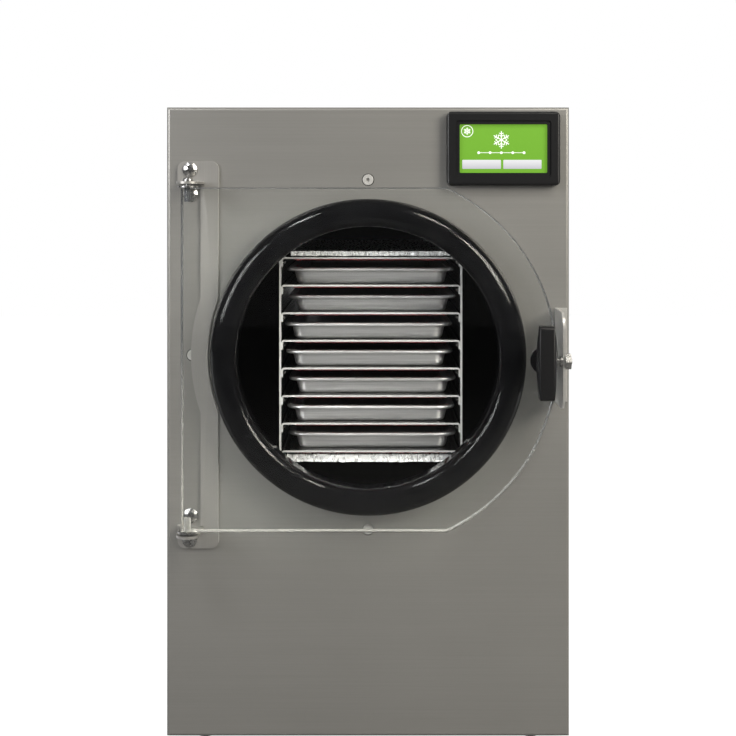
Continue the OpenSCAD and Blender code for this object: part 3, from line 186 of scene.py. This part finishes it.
# diffuse light is an even grey
traced = maths(world, "MAXIMUM", ray["Is Glossy Ray"], ray["Is Transmission Ray"])
room = spread(world, traced, ROOM_DIFFUSE, mirrored, 0, 1)
# the eye sees white
level = spread(world, ray["Is Camera Ray"], room, 1.0, 0, 1)
feed(world.node_tree.nodes["Background"], {"Color": (1, 1, 1, 1), "Strength": level})
print("room light:", ROOM_DIFFUSE, "mirrored room:", ROOM_MIRRORED)

# %% [markdown]
# ## Lamps
# Polished rubber and clear plastic are drawn by what they mirror, so the lamps are soft panels: a
# large one on each side of the machine, and two small ones high in front of it. Their edges become
# the glints on the ring and door. The right-hand pair is a little stronger and warmer.

# %% Lamps
SIDE_PANEL = (0.9, 1.0)
UPPER_PANEL = (0.5, 0.4)
WHITE = (1, 1, 1)


def soft_panel(name, place, target, size, power, tint):
    """A rectangular lamp at a place that faces a target."""
    bpy.ops.object.light_add(type="AREA", location=place)
    lamp = bpy.context.object
    lamp.name = name
    lamp.data.shape = "RECTANGLE"
    lamp.data.size, lamp.data.size_y = size
    lamp.data.energy = power
    lamp.data.color = tint
    lamp.rotation_euler = (Vector(target) - Vector(place)).to_track_quat("-Z", "Y").to_euler()


soft_panel("panel_left", (-1.6, -1.5, 1.2), (0, 0, 0.6), SIDE_PANEL, 32, WHITE)
soft_panel("panel_right", (1.6, -1.5, 1.5), (0, 0, 0.65), SIDE_PANEL, 63, (1, 0.955, 0.85))
soft_panel("panel_upper_left", (-0.95, -1.35, 2.3), (0, 0, 0.6), UPPER_PANEL, 17, WHITE)
soft_panel("panel_upper_right", (0.95, -1.35, 2.3), (0, 0, 0.6), UPPER_PANEL, 20, (1, 0.965, 0.87))

# %% [markdown]
# ## Brushed sheet steel
# The cabinet is stainless sheet, brushed by a belt that ran from side to side. Up close it is a
# bundle of very fine level lines, each a little lighter or darker and a little rougher than the next.
# Noise stretched far along one direction gives such lines; a second, broad noise gives the faint
# clouds of a real sheet.

# %% Noise, colour and relief


def two_tone(owner, value, dark, light, start=0.3, stop=0.7):
    """Maps a value to a colour between two."""
    ramp = part_of(owner, "ShaderNodeValToRGB", {"Fac": value})
    ramp.color_ramp.elements[0].position = start
    ramp.color_ramp.elements[0].color = (*dark, 1)
    ramp.color_ramp.elements[1].position = stop
    ramp.color_ramp.elements[1].color = (*light, 1)
    return ramp.outputs["Color"]


def stretched_noise(owner, scale, detail=4.0, rough=0.6):
    """Noise on Object coordinates, stretched by a different scale along each axis."""
    place = part_of(owner, "ShaderNodeTexCoord")
    turn = part_of(owner, "ShaderNodeMapping", {"Scale": scale, "Vector": place.outputs["Object"]})
    cloud = part_of(owner, "ShaderNodeTexNoise", {
        "Scale": 1.0, "Detail": detail, "Roughness": rough, "Vector": turn.outputs["Vector"]})
    return cloud.outputs["Fac"]


def raise_by(owner, shader, value, height, strength=1.0):
    """Turns a noise value into fine relief."""
    bump = part_of(owner, "ShaderNodeBump", {"Distance": height, "Strength": strength, "Height": value})
    feed(shader, {"Normal": bump.outputs["Normal"]})


# %% Brushed steel
# the depth of the finest brushing in metres, and the broad noise's size and share
FINE_RELIEF = 0.00001
CLOUD_SCALE = (5, 5, 5)
CLOUD_SHARE = 0.35


def brushed(name, dark, light, grain, rough=(0.3, 0.42), relief=0.00003,
            metal=1.0, glance=1.0, gloss=0.5):
    """Brushed metal with its lines along the axes that have a small grain number."""
    finish, shader = new_finish(name)
    lines = stretched_noise(finish, grain, detail=3.0, rough=0.75)
    clouds = stretched_noise(finish, CLOUD_SCALE, detail=2.0)
    blend = part_of(finish, "ShaderNodeMix", {"Factor": CLOUD_SHARE, "A": lines, "B": clouds},
                    data_type="FLOAT")
    feed(shader, {
        "Base Color": two_tone(finish, blend.outputs["Result"], dark, light),
        "Roughness": spread(finish, lines, *rough), "Metallic": metal,
        "Specular Tint": (glance, glance, glance, 1), "Specular IOR Level": gloss})
    raise_by(finish, shader, lines, relief, 0.5)
    return finish


# %% A steel for each sheet


def dress(finish, *names):
    """Gives a finish to CAD nodes."""
    for name in names:
        NODES[name].data.materials.clear()
        NODES[name].data.materials.append(finish)


sheet_steel = brushed("sheet_steel", (0.235, 0.23, 0.219), (0.27, 0.265, 0.253), (5, 5, 1500),
                      (0.34, 0.42), FINE_RELIEF, metal=0.65, glance=0.4)
top_steel = brushed("sheet_steel_top", (0.27, 0.264, 0.251), (0.31, 0.304, 0.29), (5, 1500, 5),
                    (0.45, 0.55), FINE_RELIEF, metal=0.3, glance=0.1, gloss=0.0)
plate_steel = brushed("plate_steel", (0.30, 0.292, 0.278), (0.35, 0.341, 0.326), (1500, 40, 5),
                      (0.36, 0.46), FINE_RELIEF, metal=0.75)
bracket_steel = brushed("bracket_steel", (0.60, 0.59, 0.57), (0.70, 0.69, 0.67), (40, 40, 1200),
                        (0.3, 0.36), FINE_RELIEF / 5, metal=0.8)
dress(sheet_steel, "front_panel", "left_side_panel", "right_side_panel", "back_panel",
      "chamber_saddle", "fan_shroud")
dress(plate_steel, "hinge_plate")
dress(bracket_steel, "latch_bracket")
dress(top_steel, "top_panel", "base_pan")
print("steels:", sheet_steel.name, top_steel.name, plate_steel.name, bracket_steel.name)

# %% [markdown]
# ## Polished and plated steel
# Pins, washers and most screws are turned and tumbled: bright, with only a breath of unevenness. The
# screws round the chamber are plated with zinc, so they are paler and duller.

# %% Polished steel
bright_steel, shader = new_finish("bright_steel")
haze = stretched_noise(bright_steel, (220, 220, 220), detail=3.0)
feed(shader, {
    "Base Color": two_tone(bright_steel, haze, (0.24, 0.238, 0.235), (0.33, 0.328, 0.325)),
    "Roughness": spread(bright_steel, haze, 0.24, 0.31), "Metallic": 1.0})
dress(bright_steel, "pan_screws", "shelf_screws", "hinge_pins", "hinge_washers", "latch_bolt",
      "handle_spindle", "vacuum_port", "drain_pipe")
screw_zinc = brushed("screw_zinc", (0.37, 0.366, 0.355), (0.46, 0.455, 0.44), (300, 300, 300),
                     (0.35, 0.45), FINE_RELIEF, metal=0.45, glance=0.5)
dress(screw_zinc, "chamber_screws")
print("polished and plated:", bright_steel.name, screw_zinc.name)

# %% [markdown]
# ## Black finishes
# Five blacks differ in little but their gloss: the coated drum, the moulded rubber ring, the satin
# plastic of handle and display frame, the dull rubber of the feet, and the compressor's enamel.

# %% Blacks


def pitted(name, colour, rough, size, relief, gloss=0.5):
    """A moulded or painted finish with fine pitting of a given size."""
    finish, shader = new_finish(name)
    pits = stretched_noise(finish, (1 / size, 1 / size, 1 / size), detail=3.0)
    light = tuple(min(1.0, c * 1.5 + 0.002) for c in colour)
    feed(shader, {
        "Base Color": two_tone(finish, pits, colour, light),
        "Roughness": spread(finish, pits, *rough), "Specular IOR Level": gloss})
    raise_by(finish, shader, pits, relief, 0.4)
    return finish


drum_coat = pitted("drum_coat", (0.0015, 0.0015, 0.0015), (0.42, 0.5), 0.004, 0.00002, gloss=0.0)
ring_rubber = pitted("ring_rubber", (0.0008, 0.0008, 0.0011), (0.08, 0.12), 0.03, 0.00002, gloss=0.2)
satin_plastic = pitted("satin_plastic", (0.0035, 0.0035, 0.004), (0.3, 0.4), 0.0006, 0.00002, gloss=0.3)
feet_rubber = pitted("feet_rubber", (0.02, 0.02, 0.02), (0.7, 0.85), 0.0015, 0.0001)
enamel = pitted("compressor_enamel", (0.01, 0.01, 0.01), (0.25, 0.35), 0.003, 0.00004)
dress(drum_coat, "chamber_drum")
dress(ring_rubber, "door_gasket")
dress(satin_plastic, "door_handle", "display_bezel", "power_sockets", "switch_frame", "switch_rocker",
      "fan_blade", "fan_motor")
dress(feet_rubber, "feet", "compressor_mounts")
dress(enamel, "compressor")
print("blacks:", drum_coat.name, ring_rubber.name, satin_plastic.name, feet_rubber.name, enamel.name)

# %% [markdown]
# ## Clear acrylic
# The door is one slab of cast acrylic. It shows itself only at its edges, where light turns.
# Shadow rays pass it, as they do in a real room, so that the chamber behind it isn't dark.

# %% One shader or another


def either_shader(owner, choice, first, second):
    """The first shader where the choice is 0, and the second where it is 1."""
    mixer = part_of(owner, "ShaderNodeMixShader", {"Fac": choice, 1: first, 2: second})
    return mixer.outputs["Shader"]


# %% Acrylic
ACRYLIC_IOR = 1.49
# the height above the chamber's axis where the pale painted reflection on the door's edges has faded
# out
PAINTED_LIGHT_FADE = 0.04
acrylic, shader = new_finish("clear_acrylic")
wipe = stretched_noise(acrylic, (9, 9, 14), detail=5.0)
feed(shader, {
    "Base Color": (0.985, 0.995, 0.99, 1), "Transmission Weight": 1.0, "IOR": ACRYLIC_IOR,
    "Specular Tint": (0.3, 0.3, 0.3, 1), "Roughness": spread(acrylic, wipe, 0.0, 0.015)})

# the sawn and scraped edges are a little hazy, so they catch the light as fine lines
door_low, door_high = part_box("door_panel")
depth = axis_of(acrylic, "Y")
past_front = maths(acrylic, "GREATER_THAN", depth, door_low.y + EDGE_SKIN)
before_back = maths(acrylic, "LESS_THAN", depth, door_high.y - EDGE_SKIN)
on_edge = maths(acrylic, "MULTIPLY", past_front, before_back)
# painted reflection: the edges are painted dim in the upper half, as if mirroring the dim room, and
# pale towards the bottom, as if mirroring the white floor
painted_floor_share = spread(acrylic, axis_of(acrylic, "Z"), 1.0, 0.0, door_low.z, AXIS_Z + PAINTED_LIGHT_FADE)
painted_edge_light = two_tone(acrylic, painted_floor_share, (0.10, 0.105, 0.115), (0.38, 0.38, 0.36), 0.0, 1.0)
edge_glass = part_of(acrylic, "ShaderNodeBsdfPrincipled", {
    "Base Color": painted_edge_light, "Roughness": 0.12, "Transmission Weight": 0.6, "IOR": ACRYLIC_IOR})
slab = either_shader(acrylic, on_edge, shader.outputs["BSDF"], edge_glass.outputs["BSDF"])

shadow_ray = part_of(acrylic, "ShaderNodeLightPath").outputs["Is Shadow Ray"]
clear = part_of(acrylic, "ShaderNodeBsdfTransparent", {"Color": (0.93, 0.94, 0.94, 1)})
feed(acrylic.node_tree.nodes["Material Output"], {
    "Surface": either_shader(acrylic, shadow_ray, slab, clear.outputs["BSDF"])})
dress(acrylic, "door_panel")
print(f"acrylic door: {door_high.y - door_low.y:.4f} m thick")

# %% [markdown]
# ## Rack and trays
# The shelves and the rack's sides are mill-finish aluminium with its grain along the machine's depth.
# The trays are drawn from satin stainless sheet, with level lines on their sides and fronts.

# %% Rack and trays
# a Mix node has a set of sockets for each kind of value: these are the colour ones
COLOUR_A, COLOUR_B, COLOUR_OUT = 6, 7, 2
# how deep a shelf's cut front is, whose pale colour is partly a painted highlight, and how far apart
# the walls of a recess stand where shade is painted
SHEAR_DEPTH = 0.0003
SHADE_REACH = 0.01
# painted shade: the aluminium is given a dark colour, so that shelves and rack sides read as shaded
# deep in the chamber
shelf_alloy = brushed("shelf_alloy", (0.22, 0.215, 0.215), (0.32, 0.31, 0.31), (500, 8, 500),
                      (0.16, 0.26))
tray_steel = brushed("tray_steel", (0.58, 0.575, 0.59), (0.94, 0.935, 0.945), (7, 7, 320),
                     (0.28, 0.38), FINE_RELIEF, metal=0.9)


def paint_shade_in_recesses(finish, reach):
    """Paints shade into a finish's colour in its piece's own narrow recesses, such as under a tray's
    rim.
    """
    whole = finish.node_tree.nodes["Principled BSDF"]
    colour = whole.inputs["Base Color"].links[0].from_socket
    occlusion = part_of(finish, "ShaderNodeAmbientOcclusion", {"Distance": reach},
                     samples=8, only_local=True)
    unshaded_share = spread(finish, occlusion.outputs["AO"], 0.12, 1.0, 0.45, 0.9)
    # painted shade: the colour turns near black where a recess is deepest
    shade = part_of(finish, "ShaderNodeMix", {
        0: unshaded_share, COLOUR_A: (0.02, 0.02, 0.02, 1), COLOUR_B: colour}, data_type="RGBA")
    feed(whole, {"Base Color": shade.outputs[COLOUR_OUT]})


def cut_edges_and_highlight(finish, limit, side, colour, rough):
    """Gives the faces on one side of an upright plane the paler, duller look of cut sheet; the pale
    colour is partly a painted highlight of the light a cut edge catches.
    """
    whole = finish.node_tree.nodes["Principled BSDF"]
    cut = maths(finish, side, axis_of(finish, "Y"), limit)
    cut_face_and_highlight = part_of(finish, "ShaderNodeBsdfPrincipled", {
        "Base Color": colour, "Metallic": 0.3, "Roughness": rough})
    feed(finish.node_tree.nodes["Material Output"], {
        "Surface": either_shader(finish, cut, whole.outputs["BSDF"], cut_face_and_highlight.outputs["BSDF"])})


shelf_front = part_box("shelf_4")[0].y
# partly painted highlight: the shelves' cut fronts are pale, partly their own cut finish and partly the
# light they catch
cut_edges_and_highlight(shelf_alloy, shelf_front + SHEAR_DEPTH, "LESS_THAN", (0.44, 0.435, 0.435, 1), 0.5)
# partly painted highlight: the hinge plate's cut edges are pale, partly their own cut finish and partly
# the bright outline they catch
cut_edges_and_highlight(plate_steel, FRONT - HINGE_PLATE + EDGE_SKIN, "GREATER_THAN", (0.62, 0.61, 0.58, 1), 0.45)
dress(shelf_alloy, "rack_left_side", "rack_right_side", *[f"shelf_{i}" for i in range(1, 9)])
# painted shade under the trays' rims and in their other narrow recesses
paint_shade_in_recesses(tray_steel, SHADE_REACH)
dress(tray_steel, *[f"tray_{i}" for i in range(1, 8)])

heater_red = pitted("heater_red", (0.13, 0.008, 0.012), (0.45, 0.6), 0.0008, 0.00006)
dress(heater_red, "heater_mats")
print("rack:", shelf_alloy.name, tray_steel.name, heater_red.name)

# %% [markdown]
# ## What is behind the sheets
# The cooling plant shows only through the vents and the fan's grille, but it is finished too.

# %% Cooling plant
copper = brushed("copper_tube", (0.55, 0.24, 0.14), (0.80, 0.42, 0.28), (60, 60, 60), (0.25, 0.4))
fins = brushed("condenser_fins", (0.5, 0.5, 0.5), (0.66, 0.66, 0.67), (400, 20, 20), (0.3, 0.45))
brass = brushed("valve_brass", (0.62, 0.42, 0.14), (0.82, 0.6, 0.26), (90, 90, 90), (0.2, 0.35))
foam = pitted("foam_jacket", (0.62, 0.53, 0.30), (0.8, 0.95), 0.003, 0.0004)
board = pitted("circuit_board", (0.01, 0.09, 0.04), (0.3, 0.5), 0.002, 0.00004)
lever_dip = pitted("lever_dip", (0.45, 0.02, 0.015), (0.3, 0.4), 0.002, 0.00004)
dress(copper, "cooling_coil", "refrigerant_lines")
dress(fins, "condenser")
dress(brass, "drain_valve")
dress(foam, "chamber_insulation")
dress(board, "control_board")
dress(lever_dip, "drain_lever")
print("cooling plant:", copper.name, fins.name, brass.name, foam.name, board.name, lever_dip.name)

# %% [markdown]
# ## Foil pads
# Two insulating pads wrapped in thin foil lie over and under the rack. Crumpled foil is a skin of
# small flat facets that meet in sharp creases, each facet a tiny mirror of its own. A fine grid is
# extruded to the pad's thickness, shaken by noise, and then thinned: the thinning leaves facets.
# The foil is creased hardest where it folds over the front edge, so it is dullest there.

# %% Foil finish
FOIL_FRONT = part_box("top_foil")[0].y
FOLD_STARTS, FOLD_ENDS = 0.004, 0.012
foil, shader = new_finish("crumpled_foil")
crease = stretched_noise(foil, (260, 90, 90), detail=4.0)
mirror_share = spread(foil, axis_of(foil, "Y"), 0.6, 1.0,
                      FOIL_FRONT + FOLD_STARTS, FOIL_FRONT + FOLD_ENDS)
feed(shader, {
    "Base Color": two_tone(foil, crease, (0.80, 0.80, 0.81), (0.98, 0.98, 0.99)),
    "Roughness": spread(foil, crease, 0.22, 0.36), "Metallic": mirror_share})
raise_by(foil, shader, crease, 0.0012)
print(f"foil: {foil.name}, front edge at y={FOIL_FRONT:.4f}")

# %% Handling pieces


def take(piece):
    """Leaves edit mode and makes a piece the only one selected, or none."""
    if bpy.context.mode != "OBJECT":
        bpy.ops.object.mode_set(mode="OBJECT")
    bpy.ops.object.select_all(action="DESELECT")
    if piece:
        piece.select_set(True)
        bpy.context.view_layer.objects.active = piece


def settle(piece):
    """Puts a finished piece's place into its mesh, with its object at the origin."""
    take(piece)
    bpy.ops.object.transform_apply(location=True, rotation=True, scale=True)


def apply_all(piece):
    """Applies a piece's modifiers in their order."""
    take(piece)
    for step in list(piece.modifiers):
        bpy.ops.object.modifier_apply(modifier=step.name)


def edit_all():
    """Enters edit mode with the whole of the active piece selected."""
    bpy.ops.object.mode_set(mode="EDIT")
    bpy.ops.mesh.select_all(action="SELECT")


def close_up():
    """Turns every face of a closed shape outwards, and leaves edit mode."""
    bpy.ops.mesh.select_all(action="SELECT")
    bpy.ops.mesh.normals_make_consistent(inside=False)
    bpy.ops.object.mode_set(mode="OBJECT")


def hand_over(piece, finish, body, node=None):
    """Gives a piece its finish and its body, and hides the CAD node that it stands for."""
    piece.data.materials.clear()
    piece.data.materials.append(finish)
    if node:
        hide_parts(node)
    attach(piece, body)
    print(piece.name, len(piece.data.polygons), "faces")


# %% A pad from a grid
# room left for the crumples, the grid's cell, and the layers in the pad's thickness
PAD_SLACK = 0.0008
PAD_GRID = (0.0032, 0.004)
PAD_LAYERS = 4
# the size and height of the large crumples and of the small ones, and the share of faces kept
CRUMPLES = ((0.014, 0.0022), (0.0055, 0.0016))
FACETS_KEPT = 0.42


def foil_pad(name, node):
    """A crumpled slab in the box of a CAD pad."""
    low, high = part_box(node)
    slack = Vector((PAD_SLACK, PAD_SLACK, PAD_SLACK * 0.6))
    low = low + slack
    high = high - slack
    size = high - low
    middle = (low + high) / 2
    take(None)
    bpy.ops.mesh.primitive_grid_add(
        x_subdivisions=round(size.x / PAD_GRID[0]), y_subdivisions=round(size.y / PAD_GRID[1]),
        size=1, location=(middle.x, middle.y, low.z))
    pad = bpy.context.object
    pad.name = name
    pad.scale = (size.x, size.y, 1)
    settle(pad)
    edit_all()
    for _ in range(PAD_LAYERS):
        bpy.ops.mesh.extrude_region_move(TRANSFORM_OT_translate={"value": (0, 0, size.z / PAD_LAYERS)})
    close_up()
    for scale, height in CRUMPLES:
        crumple = bpy.data.textures.new(f"{name}_crumple", "CLOUDS")
        crumple.noise_scale = scale
        crumple.noise_basis = "VORONOI_F2_F1"
        push = pad.modifiers.new("crumple", "DISPLACE")
        push.texture = crumple
        push.strength = height
        push.mid_level = 0.6
    thin = pad.modifiers.new("facets", "DECIMATE")
    thin.ratio = FACETS_KEPT
    apply_all(pad)
    hand_over(pad, foil, "cabinet", node)


foil_pad("foil_pad_top", "top_foil")
foil_pad("foil_pad_bottom", "bottom_foil")

# %% [markdown]
# ## Broken edges
# Neither a punched plate nor a moulded handle has a razor edge: the plate is tumbled and the mould is
# rounded, and that round edge is what draws a fine bright outline. The solids have sharp edges, so a
# copy of each is welded, cleaned of its spare triangles, bevelled and smoothed over the bevels.

# %% Broken edges
# points closer than WELD become one; an edge is flat, sharp or smooth by the angle of its two faces
WELD = 0.00002
FLAT = math.radians(1.0)
SHARP = math.radians(40)
SMOOTH = math.radians(18)


def with_broken_edges(name, node, body, finish, width):
    """A copy of a CAD node with its sharp edges bevelled, standing in for the node."""
    piece = NODES[node].copy()
    piece.data = NODES[node].data.copy()
    piece.name = name
    bpy.context.scene.collection.objects.link(piece)
    take(piece)
    edit_all()
    bpy.ops.mesh.remove_doubles(threshold=WELD)
    bpy.ops.mesh.dissolve_limited(angle_limit=FLAT)
    bpy.ops.object.mode_set(mode="OBJECT")
    ease = piece.modifiers.new("broken_edges", "BEVEL")
    ease.width = width
    ease.segments = 2
    ease.limit_method = "ANGLE"
    ease.angle_limit = SHARP
    apply_all(piece)
    bpy.ops.object.shade_smooth_by_angle(angle=SMOOTH)
    hand_over(piece, finish, body, node)


with_broken_edges("hinge_plate_eased", "hinge_plate", "cabinet", plate_steel, 0.0009)
with_broken_edges("door_handle_eased", "door_handle", "handle", satin_plastic, 0.0013)

# %% [markdown]
# ## The screen
# A lit panel: its colour is given mostly by its own light. Its picture is flat on the real machine.
# Here the marks are thin raised shapes, so that they are real pieces: a ring in the corner, a
# snowflake in the middle with a row of steps under it, and two blank buttons. Their places are given
# in millimetres from the screen's upper left corner. A bar of a snowflake is a small disc whose far
# half is moved away, and a boolean joins the bars that cross, so that no wall is left inside.

# %% Screen finishes
BUTTON_TOP = 47.6
BUTTON_BOTTOM = 58.9
screen_low, screen_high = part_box("display_screen")

lit_green, shader = new_finish("lit_screen")
rise = spread(lit_green, axis_of(lit_green, "Z"), 0, 1, screen_low.z, screen_high.z)
feed(shader, {
    "Base Color": (0.05, 0.12, 0.015, 1), "Roughness": 0.12, "Emission Strength": 0.66,
    "Emission Color": two_tone(lit_green, rise, (0.155, 0.40, 0.022), (0.19, 0.45, 0.034), 0, 1)})
dress(lit_green, "display_screen")

white_mark, shader = new_finish("lit_mark")
feed(shader, {
    "Base Color": (0.3, 0.3, 0.3, 1), "Roughness": 0.2,
    "Emission Color": (0.92, 1.0, 0.85, 1), "Emission Strength": 0.75})

button_pale, shader = new_finish("lit_button")
rise = spread(button_pale, axis_of(button_pale, "Z"), 0, 1,
              screen_high.z - BUTTON_BOTTOM / 1000, screen_high.z - BUTTON_TOP / 1000)
feed(shader, {
    "Base Color": (0.1, 0.1, 0.1, 1), "Roughness": 0.15, "Emission Strength": 0.85,
    "Emission Color": two_tone(button_pale, rise, (0.50, 0.50, 0.56), (0.86, 0.86, 0.88), 0, 1)})
print("screen:", lit_green.name, white_mark.name, button_pale.name)

# %% Places on the screen
# a mark's thickness, of which six tenths stand proud of the glass
MARK = 0.0003
MARK_FACE = screen_low.y - MARK * 0.6
UPRIGHT = (math.pi / 2, 0, 0)


def on_screen(right, down):
    """A point on the screen's face, in millimetres from its upper left corner."""
    return Vector((screen_low.x + right / 1000, MARK_FACE, screen_high.z - down / 1000))


def upright_way(degrees):
    """A direction in the screen's plane, counted from its right-hand side."""
    return Vector((math.cos(math.radians(degrees)), 0, math.sin(math.radians(degrees))))


# %% Discs and bars
BAR_CORNERS = 20


def thicken():
    """Extrudes a flat open shape into the screen as a closed one, then leaves edit mode."""
    bpy.ops.mesh.select_all(action="SELECT")
    bpy.ops.mesh.extrude_region_move(TRANSFORM_OT_translate={"value": (0, MARK, 0)})
    close_up()


def disc(middle, radius, corners):
    """A flat disc on the screen."""
    take(None)
    bpy.ops.mesh.primitive_circle_add(vertices=corners, radius=radius, fill_type="NGON",
                                      location=middle, rotation=UPRIGHT)
    piece = bpy.context.object
    settle(piece)
    return piece


def pick(piece, test):
    """Selects the vertices of a piece that pass a test, and enters edit mode."""
    take(piece)
    for part in (*piece.data.polygons, *piece.data.edges):
        part.select = False
    for vertex in piece.data.vertices:
        vertex.select = bool(test(vertex.co))
    bpy.ops.object.mode_set(mode="EDIT")
    bpy.ops.mesh.select_mode(type="VERT")


def round_bar(start, end, width):
    """A thin bar with round ends: a small disc whose far half is moved away."""
    bar = disc(start, width / 2, BAR_CORNERS)
    way = end - start
    pick(bar, lambda co: (co - start).dot(way) > 1e-9)
    bpy.ops.transform.translate(value=way)
    thicken()
    return bar


# %% Welding bars to one piece


def weld_together(name, pieces):
    """Joins solids that cross each other into one clean solid."""
    first, rest = pieces[0], pieces[1:]
    take(rest[0])
    for piece in rest:
        piece.select_set(True)
    bpy.ops.object.join()
    union = first.modifiers.new("union", "BOOLEAN")
    union.operation = "UNION"
    union.solver = "EXACT"
    union.use_self = True
    union.object = rest[0]
    apply_all(first)
    bpy.data.objects.remove(rest[0])
    first.name = name
    return first


# %% Ring in the corner
RING_MIDDLE = on_screen(12.6, 11.6)
RING_RADIUS = 0.0076
RING_WIDTH = 0.0009
RING_CORNERS = 48
ring_mark = disc(RING_MIDDLE, RING_RADIUS, RING_CORNERS)
ring_mark.name = "screen_ring"
edit_all()
bpy.ops.mesh.inset(thickness=RING_WIDTH)
bpy.ops.mesh.delete(type="ONLY_FACE")
thicken()
hand_over(ring_mark, white_mark, "cabinet")

# %% Snowflakes
# where on an arm each pair of twigs starts and how long it is, as shares of the arm
TWIGS = ((0.42, 0.34), (0.68, 0.26))
TWIG_WIDTH = 0.8


def snowflake(name, middle, reach, width):
    """Six arms, each with two pairs of twigs."""
    bars = []
    for turn in range(6):
        lean = 60 * turn + 90
        way = upright_way(lean)
        bars.append(round_bar(middle, middle + way * reach, width))
        for share, length in TWIGS:
            fork = middle + way * reach * share
            for side in (-60, 60):
                tip = fork + upright_way(lean + side) * reach * length
                bars.append(round_bar(fork, tip, width * TWIG_WIDTH))
    hand_over(weld_together(name, bars), white_mark, "cabinet")


snowflake("screen_snowflake", on_screen(55.5, 22.5), 0.0105, 0.0012)
snowflake("screen_ring_flake", RING_MIDDLE, 0.0045, 0.0007)

# %% Row of steps under the snowflake
STEPS_LEFT, STEPS_RIGHT, STEPS_DOWN = 27, 84, 38.6
STEPS = 5
LINE_WIDTH, DOT_WIDTH = 0.0007, 0.0034
A_TOUCH = Vector((0.0001, 0, 0))
steps = [round_bar(on_screen(STEPS_LEFT, STEPS_DOWN), on_screen(STEPS_RIGHT, STEPS_DOWN), LINE_WIDTH)]
for step in range(STEPS):
    spot = on_screen(STEPS_LEFT + step * (STEPS_RIGHT - STEPS_LEFT) / (STEPS - 1), STEPS_DOWN)
    steps.append(round_bar(spot, spot + A_TOUCH, DOT_WIDTH))
hand_over(weld_together("screen_steps", steps), white_mark, "cabinet")

# %% Blank buttons
BUTTON_CORNER = 0.0008


def blank_button(name, left, right):
    """A flat plate with rounded corners on the screen."""
    take(None)
    middle = (on_screen(left, BUTTON_TOP) + on_screen(right, BUTTON_BOTTOM)) / 2
    bpy.ops.mesh.primitive_plane_add(size=1, location=middle, rotation=UPRIGHT)
    plate = bpy.context.object
    plate.name = name
    plate.scale = ((right - left) / 1000, (BUTTON_BOTTOM - BUTTON_TOP) / 1000, 1)
    settle(plate)
    edit_all()
    bpy.ops.mesh.bevel(offset=BUTTON_CORNER, segments=4, affect="VERTICES")
    thicken()
    hand_over(plate, button_pale, "cabinet")


blank_button("screen_button_left", 6.4, 55.0)
blank_button("screen_button_right", 58.0, 106.0)
